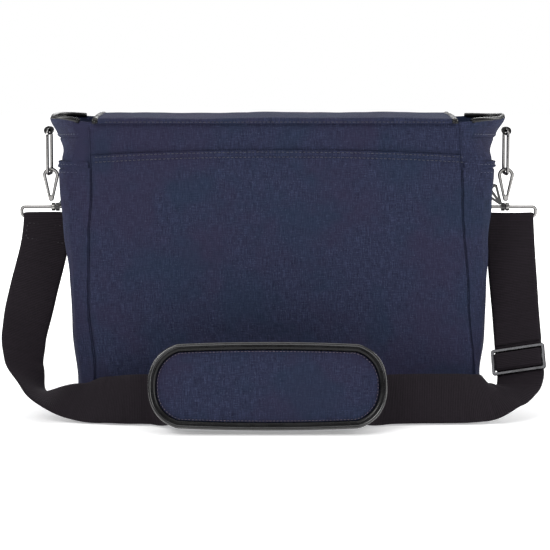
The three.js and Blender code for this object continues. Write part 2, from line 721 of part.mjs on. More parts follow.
// Slide adjuster: a three bar frame, with the webbing's end sewn round its middle bar.
const ADJUSTER_WIDTH = 56;
const ADJUSTER_HEIGHT = 27;
const ADJUSTER_THICK = 2.4;
const adjusterUp = new THREE.Vector3(-0.048, 0.456, 1).normalize();
const adjusterX = new THREE.Vector3(...legAcross).negate();
adjusterX.addScaledVector(adjusterUp, -adjusterX.dot(adjusterUp)).normalize();
const adjusterOut = new THREE.Vector3().crossVectors(adjusterX, adjusterUp);
const adjusterAt = new THREE.Vector3(...leg(55, 0)).addScaledVector(adjusterOut, LAYERS * 0.93);
const adjusterPose = new THREE.Matrix4()
  .makeBasis(adjusterX, adjusterUp, adjusterOut)
  .setPosition(adjusterAt);
const adjuster = roundedRect(ADJUSTER_WIDTH, ADJUSTER_HEIGHT, 3);
for (const up of [1, -1]) {
  const slot = roundedRect(ADJUSTER_WIDTH - 6, 8, 1);
  const holes = slot.getPoints(2).map((q) => new THREE.Vector2(q.x, q.y + up * 6.2));
  adjuster.holes.push(new THREE.Path(holes));
}
const adjusterGeometry = plate(adjuster, ADJUSTER_THICK, 0.5, 3);
adjusterGeometry.applyMatrix4(adjusterPose);
add('adjuster_frame', adjusterGeometry, 'nickel');

const wrapStops = [
  [0, 8.4, -0.2, -1, 0, 0],
  [0, 6.6, 2.2, -1, 0, 0],
  [0, 2.6, ADJUSTER_THICK / 2 + 1.7, -1, 0, 0],
  [0, -2.6, ADJUSTER_THICK / 2 + 1.7, -1, 0, 0],
  [0, -6.6, 2.2, -1, 0, 0],
  [0, -8.4, -0.2, -1, 0, 0],
];
const wrap = strip(wrapStops, WEB_WIDTH, WEB_THICK, 10);
wrap.applyMatrix4(adjusterPose);
add('adjuster_wrap', wrap, 'webbing');

// ---------------------------------------------------------- the shoulder pad
// Everything on the pad is drawn flat, then leaned against the strap.
const padPose = new THREE.Matrix4()
  .makeBasis(
    new THREE.Vector3(1, 0, 0),
    new THREE.Vector3(0, Math.sin(LEAN), Math.cos(LEAN)),
    new THREE.Vector3(0, -Math.cos(LEAN), Math.sin(LEAN)))
  .setPosition(PAD_X, PAD_Y, PAD_Z);

function onPad(name, geometry, look) {
  geometry.applyMatrix4(padPose);
  add(name, geometry, look);
}

const BINDING = 7;              // black edge tape round the pad
const padOutline = roundedRect(PAD_LENGTH, PAD_WIDTH, PAD_WIDTH / 2 - 3);
padOutline.holes.push(roundedRect(PAD_LENGTH - 2 * BINDING, PAD_WIDTH - 2 * BINDING,
  PAD_WIDTH / 2 - 3 - BINDING));
onPad('pad_binding', plate(padOutline, PAD_THICK, 3, 5), 'leather');
onPad('pad_cover', plate(roundedRect(PAD_LENGTH - 2 * BINDING - 0.8,
  PAD_WIDTH - 2 * BINDING - 0.8, PAD_WIDTH / 2 - 3 - BINDING), PAD_THICK + 2, 2, 6), 'fabric');

const backing = plate(roundedRect(PAD_LENGTH - 30, PAD_WIDTH - 30, 20), BACKING, 0, 3);
backing.translate(0, 0, -PAD_THICK / 2 - 1 - GAP - BACKING / 2);
onPad('pad_backing', backing, 'webbing');

for (const side of ['left', 'right']) {
  const keeper = roundedRect(2 * KEEPER_WALL + 2 * GAP + WEB_THICK, 2 * KEEPER_HALF, 1);
  keeper.holes.push(roundedRect(WEB_THICK + 2 * GAP, WEB_WIDTH + 1, 0.5));
  const band = plate(keeper, KEEPER_WIDTH, 0, 2);
  band.rotateY(Math.PI / 2);
  band.translate(sides[side] * KEEPER_X, -webDown, -webBack);
  onPad(`pad_keeper_${side}`, band, 'webbing');
}

export default bag;
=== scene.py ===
import math

import bpy
import numpy as np
from mathutils import Matrix, Vector
from mathutils.bvhtree import BVHTree


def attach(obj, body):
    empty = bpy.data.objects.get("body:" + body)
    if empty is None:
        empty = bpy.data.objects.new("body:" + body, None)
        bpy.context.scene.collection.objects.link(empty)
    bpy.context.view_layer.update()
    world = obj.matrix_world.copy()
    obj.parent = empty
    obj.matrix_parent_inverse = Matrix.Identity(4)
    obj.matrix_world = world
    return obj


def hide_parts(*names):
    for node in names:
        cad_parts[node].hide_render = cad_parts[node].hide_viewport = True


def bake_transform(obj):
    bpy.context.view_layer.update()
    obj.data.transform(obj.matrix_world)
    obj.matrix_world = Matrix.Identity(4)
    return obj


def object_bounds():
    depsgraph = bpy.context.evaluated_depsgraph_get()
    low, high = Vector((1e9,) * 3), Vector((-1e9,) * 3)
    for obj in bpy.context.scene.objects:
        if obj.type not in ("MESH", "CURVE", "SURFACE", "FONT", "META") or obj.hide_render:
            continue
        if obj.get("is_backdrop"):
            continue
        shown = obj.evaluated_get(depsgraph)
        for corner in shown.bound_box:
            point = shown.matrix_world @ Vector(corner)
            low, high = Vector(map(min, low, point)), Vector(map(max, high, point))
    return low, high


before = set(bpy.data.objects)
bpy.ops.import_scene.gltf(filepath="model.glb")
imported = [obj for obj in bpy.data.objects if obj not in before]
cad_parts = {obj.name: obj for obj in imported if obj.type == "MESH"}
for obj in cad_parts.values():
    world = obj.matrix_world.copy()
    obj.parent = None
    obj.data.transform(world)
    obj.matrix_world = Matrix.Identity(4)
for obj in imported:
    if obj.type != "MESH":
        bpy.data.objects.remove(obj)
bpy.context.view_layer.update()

MM = 0.001

# ------------------------------------------------------------------ camera
PITCH = math.radians(7.0)
cam_data = bpy.data.cameras.new("camera")
cam_data.sensor_width = 36.0
cam_data.lens = 144.0
cam_data.clip_end = 30.0
cam = bpy.data.objects.new("camera", cam_data)
cam.location = (0.0, -2.2486, 0.4111)
cam.rotation_euler = (math.pi / 2 - PITCH, 0.0, 0.0)
bpy.context.scene.collection.objects.link(cam)
bpy.context.scene.camera = cam
bpy.context.scene.view_settings.view_transform = "Standard"


# ------------------------------------------------------------------ lights
def area(name, place, target, size, power, tint=(1.0, 1.0, 1.0)):
    data = bpy.data.lights.new(name, "AREA")
    data.shape = "RECTANGLE"
    data.size = size[0]
    data.size_y = size[1]
    data.energy = power
    data.color = tint
    light = bpy.data.objects.new(name, data)
    light.location = place
    aim = Vector(target) - Vector(place)
    light.rotation_euler = aim.to_track_quat("-Z", "Y").to_euler()
    bpy.context.scene.collection.objects.link(light)


area("key", (-1.3, -2.3, 2.1), (0, 0, 0.15), (1.5, 1.1), 40)
area("fill", (1.9, -2.0, 1.0), (0, 0, 0.15), (1.4, 1.4), 22)
area("top", (0.0, 0.2, 2.4), (0, 0, 0.1), (2.2, 1.4), 16)
area("rim_left", (-2.0, 0.9, 1.0), (0, 0, 0.2), (0.7, 1.4), 14)
area("rim_right", (2.0, 1.1, 1.2), (0, 0, 0.2), (0.7, 1.4), 14)
area("behind", (0.3, 2.3, 1.5), (0, 0, 0.15), (1.6, 1.0), 20)

world = bpy.data.worlds.new("studio")
bpy.context.scene.world = world
world.use_nodes = True
sky = world.node_tree
direction = sky.nodes.new("ShaderNodeTexCoord")
height = sky.nodes.new("ShaderNodeSeparateXYZ")
tone = sky.nodes.new("ShaderNodeValToRGB")
tone.color_ramp.elements[0].position = 0.05
tone.color_ramp.elements[0].color = (0.16, 0.16, 0.17, 1.0)
tone.color_ramp.elements[1].position = 0.85
tone.color_ramp.elements[1].color = (0.62, 0.62, 0.62, 1.0)
soft = sky.nodes["Background"]
white = sky.nodes.new("ShaderNodeBackground")
white.inputs["Color"].default_value = (1.0, 1.0, 1.0, 1.0)
white.inputs["Strength"].default_value = 1.0
seen = sky.nodes.new("ShaderNodeLightPath")
either = sky.nodes.new("ShaderNodeMixShader")
sky.links.new(direction.outputs["Generated"], height.inputs[0])
sky.links.new(height.outputs["Z"], tone.inputs["Fac"])
sky.links.new(tone.outputs["Color"], soft.inputs["Color"])
sky.links.new(seen.outputs["Is Camera Ray"], either.inputs[0])
sky.links.new(soft.outputs[0], either.inputs[1])
sky.links.new(white.outputs[0], either.inputs[2])
sky.links.new(either.outputs[0], sky.nodes["World Output"].inputs["Surface"])


# --------------------------------------------------------------- materials
class Mat:
    """A small helper to build a node material."""

    def __init__(self, name):
        self.material = bpy.data.materials.new(name)
        self.material.use_nodes = True
        self.tree = self.material.node_tree
        self.shader = self.tree.nodes["Principled BSDF"]

    def node(self, kind, **settings):
        made = self.tree.nodes.new(kind)
        for key, value in settings.items():
            setattr(made, key, value)
        return made

    def link(self, source, target):
        self.tree.links.new(source, target)

    def put(self, socket, value):
        self.shader.inputs[socket].default_value = value

    def coords(self, scale, source="UV", rotation=0.0):
        texture = self.node("ShaderNodeTexCoord")
        mapping = self.node("ShaderNodeMapping")
        mapping.inputs["Scale"].default_value = scale
        mapping.inputs["Rotation"].default_value = (0.0, 0.0, rotation)
        self.link(texture.outputs[source], mapping.inputs["Vector"])
        return mapping.outputs["Vector"]

    def noise(self, vector, scale=1.0, detail=2.0, rough=0.5, distort=0.0):
        made = self.node("ShaderNodeTexNoise")
        made.inputs["Scale"].default_value = scale
        made.inputs["Detail"].default_value = detail
        made.inputs["Roughness"].default_value = rough
        made.inputs["Distortion"].default_value = distort
        self.link(vector, made.inputs["Vector"])
        return made.outputs["Fac"]

    def ramp(self, factor, stops):
        made = self.node("ShaderNodeValToRGB")
        ramp = made.color_ramp
        while len(ramp.elements) < len(stops):
            ramp.elements.new(0.5)
        for element, (place, colour) in zip(ramp.elements, stops):
            element.position = place
            element.color = colour
        self.link(factor, made.inputs["Fac"])
        return made.outputs["Color"]

    def math(self, operation, first, second):
        made = self.node("ShaderNodeMath", operation=operation)
        for socket, value in zip(made.inputs, (first, second)):
            if isinstance(value, (int, float)):
                socket.default_value = value
            else:
                self.link(value, socket)
        return made.outputs[0]

    def mix(self, factor, first, second, blend="MIX"):
        made = self.node("ShaderNodeMix", data_type="RGBA", blend_type=blend)
        for index, value in ((0, factor), (6, first), (7, second)):
            socket = made.inputs[index]
            if isinstance(value, (int, float, tuple)):
                socket.default_value = value
            else:
                self.link(value, socket)
        return made.outputs[2]

    def bump(self, height, strength, distance, under=None):
        made = self.node("ShaderNodeBump")
        made.inputs["Strength"].default_value = strength
        made.inputs["Distance"].default_value = distance
        self.link(height, made.inputs["Height"])
        if under is not None:
            self.link(under, made.inputs["Normal"])
        return made.outputs["Normal"]

    def finish(self, colour=None, normal=None, rough=None):
        for value, socket in ((colour, "Base Color"), (normal, "Normal"), (rough, "Roughness")):
            if value is not None:
                self.link(value, self.shader.inputs[socket])
        return self.material


def srgb(r, g, b):
    def one(c):
        c = c / 255.0
        return c / 12.92 if c <= 0.04045 else ((c + 0.055) / 1.055) ** 2.4
    return (one(r), one(g), one(b), 1.0)


def linen(name, dark, base, light, teal, plum):
    """Cross-woven linen look: fine uneven threads both ways, flecks, and mottled dye."""
    m = Mat(name)
    warp = m.noise(m.coords((1500.0, 90.0, 1.0)), 1.0, 3.0, 0.65)
    weft = m.noise(m.coords((110.0, 1500.0, 1.0)), 1.0, 3.0, 0.65)
    slub_v = m.noise(m.coords((900.0, 55.0, 1.0)), 1.0, 1.0, 0.5)
    slub_h = m.noise(m.coords((60.0, 900.0, 1.0)), 1.0, 1.0, 0.5)
    fleck = m.noise(m.coords((700.0, 520.0, 1.0)), 1.0, 2.0, 0.6)
    threads = m.math("ADD", m.math("MULTIPLY", warp, 0.55), m.math("MULTIPLY", weft, 0.45))
    cloth = m.ramp(threads, [(0.38, dark), (0.5, base), (0.64, light)])
    spots = m.ramp(m.math("MAXIMUM", slub_v, slub_h), [(0.62, (0, 0, 0, 1)), (0.78, (1, 1, 1, 1))])
    cloth = m.mix(m.math("MULTIPLY", spots, 0.35), cloth, light)
    flecks = m.ramp(fleck, [(0.6, (0, 0, 0, 1)), (0.7, (1, 1, 1, 1))])
    bright = (light[0] * 2.3, light[1] * 2.15, light[2] * 1.75, 1.0)
    cloth = m.mix(m.math("MULTIPLY", flecks, 0.42), cloth, bright)
    cloud = m.noise(m.coords((11.0, 11.0, 11.0), "Object"), 1.0, 4.0, 0.6)
    purple = m.ramp(cloud, [(0.46, (0, 0, 0, 1)), (0.6, (0.42, 0.42, 0.42, 1))])
    cloth = m.mix(purple, cloth, plum)
    cloud2 = m.noise(m.coords((17.0, 17.0, 17.0), "Object"), 1.0, 3.0, 0.55, 0.4)
    blue = m.ramp(cloud2, [(0.48, (0, 0, 0, 1)), (0.64, (0.4, 0.4, 0.4, 1))])
    cloth = m.mix(blue, cloth, teal)
    pick = m.node("ShaderNodeTexWave", wave_type="BANDS", bands_direction="X")
    pick.inputs["Scale"].default_value = 1.0
    pick.inputs["Distortion"].default_value = 1.2
    m.link(m.coords((520.0, 520.0, 1.0)), pick.inputs["Vector"])
    end = m.node("ShaderNodeTexWave", wave_type="BANDS", bands_direction="Y")
    end.inputs["Scale"].default_value = 1.0
    end.inputs["Distortion"].default_value = 1.2
    m.link(m.coords((520.0, 520.0, 1.0)), end.inputs["Vector"])
    weave = m.math("MULTIPLY", pick.outputs["Fac"], end.outputs["Fac"])
    height = m.math("ADD", weave, m.math("MULTIPLY", threads, 1.8))
    fuzz = m.ramp(threads, [(0.3, (0.95, 0.95, 0.95, 1)), (0.7, (0.78, 0.78, 0.78, 1))])
    m.put("Sheen Weight", 0.06)
    m.put("Sheen Roughness", 0.4)
    m.put("Sheen Tint", (0.5, 0.56, 0.8, 1.0))
    m.put("Specular IOR Level", 0.12)
    return m.finish(cloth, m.bump(height, 0.4, 0.0003), fuzz)


NAVY = linen("navy_linen", srgb(26, 28, 45), srgb(36, 40, 61), srgb(52, 58, 84),
             srgb(28, 43, 62), srgb(43, 37, 58))


def ribbed(name, base, light):
    """Ribbed webbing: ribs across the strip, with a fine woven edge."""
    m = Mat(name)
    rib = m.node("ShaderNodeTexWave", wave_type="BANDS", bands_direction="Y")
    rib.inputs["Scale"].default_value = 1.0
    rib.inputs["Distortion"].default_value = 0.5
    rib.inputs["Detail Scale"].default_value = 2.0
    m.link(m.coords((185.0, 185.0, 1.0)), rib.inputs["Vector"])
    fine = m.noise(m.coords((900.0, 140.0, 1.0)), 1.0, 3.0, 0.6)
    streak = m.noise(m.coords((18.0, 420.0, 1.0)), 1.0, 2.0, 0.5)
    tone = m.math("ADD", m.math("MULTIPLY", rib.outputs["Fac"], 0.35),
                  m.math("ADD", m.math("MULTIPLY", fine, 0.35), m.math("MULTIPLY", streak, 0.3)))
    colour = m.ramp(tone, [(0.3, base), (0.72, light)])
    height = m.math("ADD", rib.outputs["Fac"], m.math("MULTIPLY", fine, 0.8))
    m.put("Roughness", 0.8)
    m.put("Sheen Weight", 0.04)
    m.put("Sheen Tint", (0.85, 0.75, 0.85, 1.0))
    m.put("Specular IOR Level", 0.14)
    return m.finish(colour, m.bump(height, 0.45, 0.0004))


WEBBING = ribbed("black_webbing", srgb(17, 13, 17), srgb(34, 28, 34))


def leatherette(name, colour, rough, specular=0.24, coat=0.06):
    """Smooth coated tape with a fine grain and worn high spots."""
    m = Mat(name)
    grain = m.node("ShaderNodeTexVoronoi", feature="F1")
    grain.inputs["Scale"].default_value = 900.0
    m.link(m.coords((1.0, 1.0, 1.0), "Object"), grain.inputs["Vector"])
    cloud = m.noise(m.coords((60.0, 60.0, 60.0), "Object"), 1.0, 4.0, 0.6)
    tone = m.ramp(cloud, [(0.4, colour), (0.8, srgb(17, 17, 19))])
    roughness = m.ramp(cloud, [(0.3, (rough, rough, rough, 1)),
                               (0.8, (rough + 0.2, rough + 0.2, rough + 0.2, 1))])
    m.put("Specular IOR Level", specular)
    m.put("Coat Weight", coat)
    m.put("Coat Roughness", 0.12)
    return m.finish(tone, m.bump(grain.outputs["Distance"], 0.2, 0.00015), roughness)


LEATHER = leatherette("black_leatherette", srgb(5, 5, 6), 0.2)
PIPING = leatherette("black_piping", srgb(5, 5, 6), 0.13, 0.6, 0.7)


def polished(name, colour, rough):
    m = Mat(name)
    smear = m.noise(m.coords((70.0, 70.0, 70.0), "Object"), 1.0, 4.0, 0.65)
    scratch = m.noise(m.coords((900.0, 120.0, 900.0), "Object"), 1.0, 2.0, 0.5)
    roughness = m.ramp(smear, [(0.3, (rough, rough, rough, 1)),
                               (0.75, (rough + 0.16, rough + 0.16, rough + 0.16, 1))])
    worn = (colour[0] * 0.8, colour[1] * 0.79, colour[2] * 0.77, 1)
    tone = m.ramp(smear, [(0.25, colour), (0.8, worn)])
    m.put("Metallic", 1.0)
    m.put("Specular Tint", (0.12, 0.12, 0.13, 1.0))
    return m.finish(tone, m.bump(scratch, 0.06, 0.0001), roughness)


NICKEL = polished("polished_nickel", (0.3, 0.295, 0.29, 1.0), 0.12)
GUNMETAL = polished("dark_nickel", (0.045, 0.045, 0.048, 1.0), 0.22)


def coated():
    m = Mat("black_coated_wire")
    cloud = m.noise(m.coords((90.0, 90.0, 90.0), "Object"), 1.0, 3.0, 0.6)
    tone = m.ramp(cloud, [(0.3, srgb(16, 16, 18)), (0.8, srgb(34, 34, 36))])
    m.put("Roughness", 0.32)
    m.put("Coat Weight", 0.4)
    return m.finish(tone, m.bump(cloud, 0.1, 0.0002))


COATED = coated()


def nylon(name, dark, light):
    """Thin lining cloth with a diagonal twill and a soft shine."""
    m = Mat(name)
    twill = m.node("ShaderNodeTexWave", wave_type="BANDS", bands_direction="DIAGONAL")
    twill.inputs["Scale"].default_value = 1.0
    twill.inputs["Distortion"].default_value = 0.6
    m.link(m.coords((330.0, 330.0, 1.0)), twill.inputs["Vector"])
    cloud = m.noise(m.coords((30.0, 30.0, 30.0), "Object"), 1.0, 3.0, 0.5)
    tone = m.math("ADD", m.math("MULTIPLY", twill.outputs["Fac"], 0.4),
                  m.math("MULTIPLY", cloud, 0.6))
    m.put("Roughness", 0.55)
    m.put("Sheen Weight", 0.3)
    return m.finish(m.ramp(tone, [(0.3, dark), (0.8, light)]),
                    m.bump(twill.outputs["Fac"], 0.25, 0.0003))


LINING = nylon("black_lining", srgb(17, 17, 19), srgb(38, 38, 42))


def thread(name, colour):
    m = Mat(name)
    ply = m.noise(m.coords((2500.0, 2500.0, 2500.0), "Object"), 1.0, 2.0, 0.5)
    m.put("Roughness", 0.6)
    m.put("Sheen Weight", 0.3)
    dark = (colour[0] * 0.6, colour[1] * 0.6, colour[2] * 0.6, 1.0)
    return m.finish(m.ramp(ply, [(0.3, dark), (0.7, colour)]))


THREAD = thread("navy_thread", srgb(22, 24, 38))
THREAD_BLUE = thread("blue_thread", srgb(66, 72, 98))
THREAD_BLACK = thread("black_thread", srgb(34, 32, 36))
THREAD_PALE = thread("pale_thread", srgb(112, 96, 108))


def studio_floor():
    """A white studio floor that fades into the white behind it."""
    m = Mat("studio_floor")
    cloud = m.noise(m.coords((2.0, 2.0, 2.0), "Object"), 1.0, 2.0, 0.5)
    tone = m.ramp(cloud, [(0.3, (0.94, 0.94, 0.94, 1)), (0.7, (0.97, 0.97, 0.97, 1))])
    reach = m.node("ShaderNodeVectorMath", operation="LENGTH")
    m.link(m.coords((0.5, 0.5, 0.5), "Object"), reach.inputs[0])
    glow = m.ramp(reach.outputs["Value"],
                  [(0.18, (0.3, 0.3, 0.3, 1)), (0.62, (0.85, 0.85, 0.85, 1))])
    m.put("Roughness", 0.9)
    m.put("Specular IOR Level", 0.1)
    m.put("Emission Strength", 1.0)
    m.link(glow, m.shader.inputs["Emission Color"])
    return m.finish(tone)


# ------------------------------------------------------------ mesh helpers
def grid(*parts):
    """Points in metres, from arrays of each coordinate in millimetres."""
    return np.stack(parts, -1) * MM


def lengths(points):
    """Running length along a line of points."""
    steps = np.linalg.norm(np.diff(points, axis=0), axis=1)
    return np.concatenate([[0.0], np.cumsum(steps)])


def new_object(name, verts, faces, material, uvs=None, smooth=True):
    mesh = bpy.data.meshes.new(name)
    mesh.from_pydata([tuple(v) for v in verts], [], faces)
    if uvs is not None:
        layer = mesh.uv_layers.new(name="cloth")
        index = np.empty(len(mesh.loops), dtype=np.int64)
        mesh.loops.foreach_get("vertex_index", index)
        layer.data.foreach_set("uv", np.asarray(uvs, dtype=np.float32)[index].ravel())
    mesh.materials.append(material)
    mesh.polygons.foreach_set("use_smooth", [smooth] * len(mesh.polygons))
    mesh.update()
    made = bpy.data.objects.new(name, mesh)
    bpy.context.scene.collection.objects.link(made)
    return made


def flip_if_inside_out(obj):
    import bmesh
    b = bmesh.new()
    b.from_mesh(obj.data)
    bmesh.ops.recalc_face_normals(b, faces=b.faces)
    b.to_mesh(obj.data)
    b.free()


def surface(outer, inner, name, material, loop=False, uvs=None):
    """A closed sheet between two grids of points, outer and inner, each rows x columns x 3."""
    rows, columns, _ = outer.shape
    verts = np.concatenate([outer.reshape(-1, 3), inner.reshape(-1, 3)])
    layer = rows * columns
    faces = []

    def at(r, c, side):
        return side * layer + r * columns + c % columns

    last = columns if loop else columns - 1
    for r in range(rows - 1):
        for c in range(last):
            faces.append((at(r, c, 0), at(r, c + 1, 0), at(r + 1, c + 1, 0), at(r + 1, c, 0)))
            faces.append((at(r, c, 1), at(r + 1, c, 1), at(r + 1, c + 1, 1), at(r, c + 1, 1)))
    for c in range(last):
        faces.append((at(0, c, 0), at(0, c, 1), at(0, c + 1, 1), at(0, c + 1, 0)))
        faces.append((at(rows - 1, c, 0), at(rows - 1, c + 1, 0),
                      at(rows - 1, c + 1, 1), at(rows - 1, c, 1)))
    if not loop:
        for r in range(rows - 1):
            faces.append((at(r, 0, 0), at(r + 1, 0, 0), at(r + 1, 0, 1), at(r, 0, 1)))
            faces.append((at(r, last, 0), at(r, last, 1), at(r + 1, last, 1), at(r + 1, last, 0)))
    if uvs is None:
        u = lengths(outer[rows // 2])
        v = lengths(outer[:, columns // 2])
        uvs = np.stack(np.meshgrid(u, v), axis=-1)
    flat = uvs.reshape(-1, 2)
    made = new_object(name, verts, faces, material, np.concatenate([flat, flat]))
    flip_if_inside_out(made)
    return made


def tube(name, line, radius, material, sides=8, closed=False, flat=1.0, up=None):
    """A round or flattened tube along a line of points."""
    line = np.asarray(line, dtype=float)
    count = len(line)
    if closed:
        ahead = np.roll(line, -1, axis=0) - np.roll(line, 1, axis=0)
    else:
        ahead = np.gradient(line, axis=0)
    ahead /= np.linalg.norm(ahead, axis=1)[:, None]
    verts = []
    side = np.array(up if up is not None else (0.0, 0.0, 1.0))
    run = lengths(line)
    uvs = []
    for k in range(count):
        a = side[k] if side.ndim == 2 else side
        first = np.cross(ahead[k], a)
        if np.linalg.norm(first) < 1e-6:
            first = np.cross(ahead[k], (1.0, 0.0, 0.0))
        first /= np.linalg.norm(first)
        second = np.cross(ahead[k], first)
        r = radius[k] if hasattr(radius, "__len__") else radius
        for s in range(sides):
            t = 2 * math.pi * s / sides
            verts.append(line[k] + first * r * math.cos(t) + second * r * flat * math.sin(t))
            uvs.append((r * t, run[k]))
    faces = []
    for k in range(count if closed else count - 1):
        n = (k + 1) % count
        for s in range(sides):
            e = (s + 1) % sides
            faces.append((k * sides + s, k * sides + e, n * sides + e, n * sides + s))
    if not closed:
        faces.append(tuple(range(sides))[::-1])
        faces.append(tuple((count - 1) * sides + s for s in range(sides)))
    made = new_object(name, verts, faces, material, uvs)
    flip_if_inside_out(made)
    return made


def stitches(name, lines, material, pitch=4.2 * MM, long=2.7 * MM, thick=0.32 * MM):
    """One mesh of short raised stitches along each line of (points, normals)."""
    verts = []
    faces = []
    for points, normals in lines:
        points = np.asarray(points, dtype=float)
        normals = np.asarray(normals, dtype=float)
        run = lengths(points)
        total = run[-1]
        count = int(total / pitch)
        for k in range(count):
            mid = (k + 0.5) * total / count
            ends = [mid - long / 2, mid - long / 4, mid + long / 4, mid + long / 2]
            sizes = [0.25, 1.0, 1.0, 0.25]
            spots = [np.array([np.interp(e, run, points[:, i]) for i in range(3)]) for e in ends]
            n = np.array([np.interp(mid, run, normals[:, i]) for i in range(3)])
            n /= np.linalg.norm(n)
            ahead = spots[3] - spots[0]
            ahead /= np.linalg.norm(ahead)
            side = np.cross(ahead, n)
            base = len(verts)
            for spot, size in zip(spots, sizes):
                lift = n * thick * (0.55 if size == 1.0 else -0.1)
                for q in range(5):
                    t = 2 * math.pi * q / 5
                    round_it = side * math.cos(t) + n * math.sin(t)
                    verts.append(spot + lift + round_it * thick * size)
            for ring in range(3):
                for q in range(5):
                    e = (q + 1) % 5
                    a = base + ring * 5
                    faces.append((a + q, a + e, a + 5 + e, a + 5 + q))
            faces.append(tuple(base + q for q in range(5))[::-1])
            faces.append(tuple(base + 15 + q for q in range(5)))
    made = new_object(name, verts, faces, material, [(0.0, 0.0)] * len(verts))
    flip_if_inside_out(made)
    return made


# -------------------------------------------------------- the body's outline
HALF_DEPTH = 62.0
FULL_AT = -34.0
HARDWARE_Y = 8.0
BODY_TOP = 292.0
CLOTH_RISE = 3.2
HEM = 252.0
SEAM = {
    "left": [(0, -181), (45, -182), (110, -188), (180, -187), (225, -184), (300, -186)],
    "right": [(0, 202), (40, 201), (115, 195), (215, 188), (300, 185)],
}
REACH = {
    "left": [(0, -196), (30, -200), (90, -205), (140, -208), (195, -214), (240, -217),
             (262, -217), (280, -221), (298, -228.5)],
    "right": [(0, 205), (40, 208), (95, 213), (170, 215), (215, 218), (240, 220),
              (262, 221), (280, 225), (298, 234)],
}
FLAT = {
    "left": [(0, 2.4), (60, 4.5), (200, 12), (228, 11.5), (262, 0)],
    "right": [(0, 2.4), (60, 4.5), (200, 9), (230, 8.6), (262, 0)],
}
SIGN = {"left": -1.0, "right": 1.0}


def along(pairs, at):
    at = np.asarray(at, dtype=float)
    x = np.array([p[0] for p in pairs], dtype=float)
    y = np.array([p[1] for p in pairs], dtype=float)
    i = np.clip(np.searchsorted(x, at) - 1, 0, len(x) - 2)
    t = np.clip((at - x[i]) / (x[i + 1] - x[i]), 0, 1)
    return y[i] + (y[i + 1] - y[i]) * t * t * (3 - 2 * t)


def ease(low, high, at):
    t = np.clip((np.asarray(at, dtype=float) - low) / (high - low), 0, 1)
    return t * t * (3 - 2 * t)


def hump(y, peak, power):
    y = np.asarray(y, dtype=float)
    reach = np.where(y < peak, peak + HALF_DEPTH, HALF_DEPTH - peak)
    t = np.clip(np.abs(y - peak) / reach, 0, 1)
    return (1 - t ** power) ** 0.8


def fullness(y, z):
    y = np.asarray(y, dtype=float)
    low = np.where(y < FULL_AT, hump(y, FULL_AT, 2.4), hump(y, FULL_AT, 1.2))
    high = hump(y, HARDWARE_Y, 2.2)
    return low + (high - low) * ease(245, 285, z)


def side_x(side, y, z):
    seam = along(SEAM[side], z)
    return seam + (along(REACH[side], z) - seam) * fullness(y, z)


def gusset_x(side, y, z):
    hollow = np.maximum(along(FLAT[side], z) * fullness(y, z), 0)
    under = 2.4 * (1 - ease(HEM, HEM + 6, z))
    return side_x(side, y, z) - SIGN[side] * np.maximum(hollow, under)


def back_y(x, z):
    across = 1 - (np.abs(x) / 205) ** 2
    up = np.sin(np.pi * np.minimum(np.asarray(z, dtype=float) / 300, 1))
    return -HALF_DEPTH + 5 - 4 * across * up


def ripple(a, b, seed):
    """A gentle unevenness of cloth, about 1 at most, from a few crossing waves."""
    total = 0.0
    for k in range(6):
        turn = 1.7 * k + seed * 2.3
        wave = 38.0 + 23.0 * ((k * 7 + int(seed * 5)) % 5)
        total = total + np.sin((a * math.cos(turn) + b * math.sin(turn)) * 2 * math.pi / wave
                               + seed * 1.9 + k * 2.1) / (1.4 + 0.35 * k)
    return total / 3.2


def gusset_hem(y):
    """Height of the hem stitched round the top of a gusset: highest at the back."""
    return 281 - 0.07 * (y + 55)


def slack_cloth(around, z):
    """How far a wall of the body stands out or in where its cloth is slack."""
    folds = np.sin((around * 0.8 + z * 0.5) * 0.045 + 1.1) * np.sin(z * 0.021 + around * 0.012)
    return (1.5 * ripple(around, z, 1.0) + 1.1 * folds) * ease(0, 60, z) * ease(0, 50, BODY_TOP - z)


def piece(obj, body, *nodes, slot=None):
    if nodes:
        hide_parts(*nodes)
    if body:
        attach(obj, body)
    return obj


# ---------------------------------------------------------- the lofted body
def body_loop(z, columns=64, sides=40):
    """Points round the body at each height z, starting at the left seam on the back."""
    z = np.asarray(z, dtype=float)[:, None]
    t = np.linspace(0, 1, columns, endpoint=False)[None, :]
    left = along(SEAM["left"], z)
    right = along(SEAM["right"], z)
    xb = left + (right - left) * t
    zb = np.broadcast_to(z, xb.shape)
    back = np.stack([xb, back_y(xb, zb), zb], axis=-1)
    s = np.linspace(0, 1, sides, endpoint=False)[None, :]
    ys = -57 + 114 * s + 0 * z
    zs = z + 0 * ys
    rightside = np.stack([gusset_x("right", ys, zs), ys, zs], axis=-1)
    xf = right + (left - right) * t
    front = np.stack([xf, -back_y(xf, zb), zb], axis=-1)
    yl = 57 - 114 * s + 0 * z
    leftside = np.stack([gusset_x("left", yl, zs), yl, zs], axis=-1)
    return np.concatenate([back, rightside, front, leftside], axis=1)


def top_height(loop):
    """How high the cloth stands round the top: the sides rise to flared wings."""
    x, y = loop[..., 0], loop[..., 1]
    wing = ease(183, 215, np.abs(x))
    under_flap = ease(40, 56, y) * (1 - ease(168, 180, np.abs(x)))
    return (BODY_TOP + CLOTH_RISE + 2.0 * wing + 0.8 * wing * np.sin(y * 0.08 + np.sign(x))
            - 3.4 * under_flap)


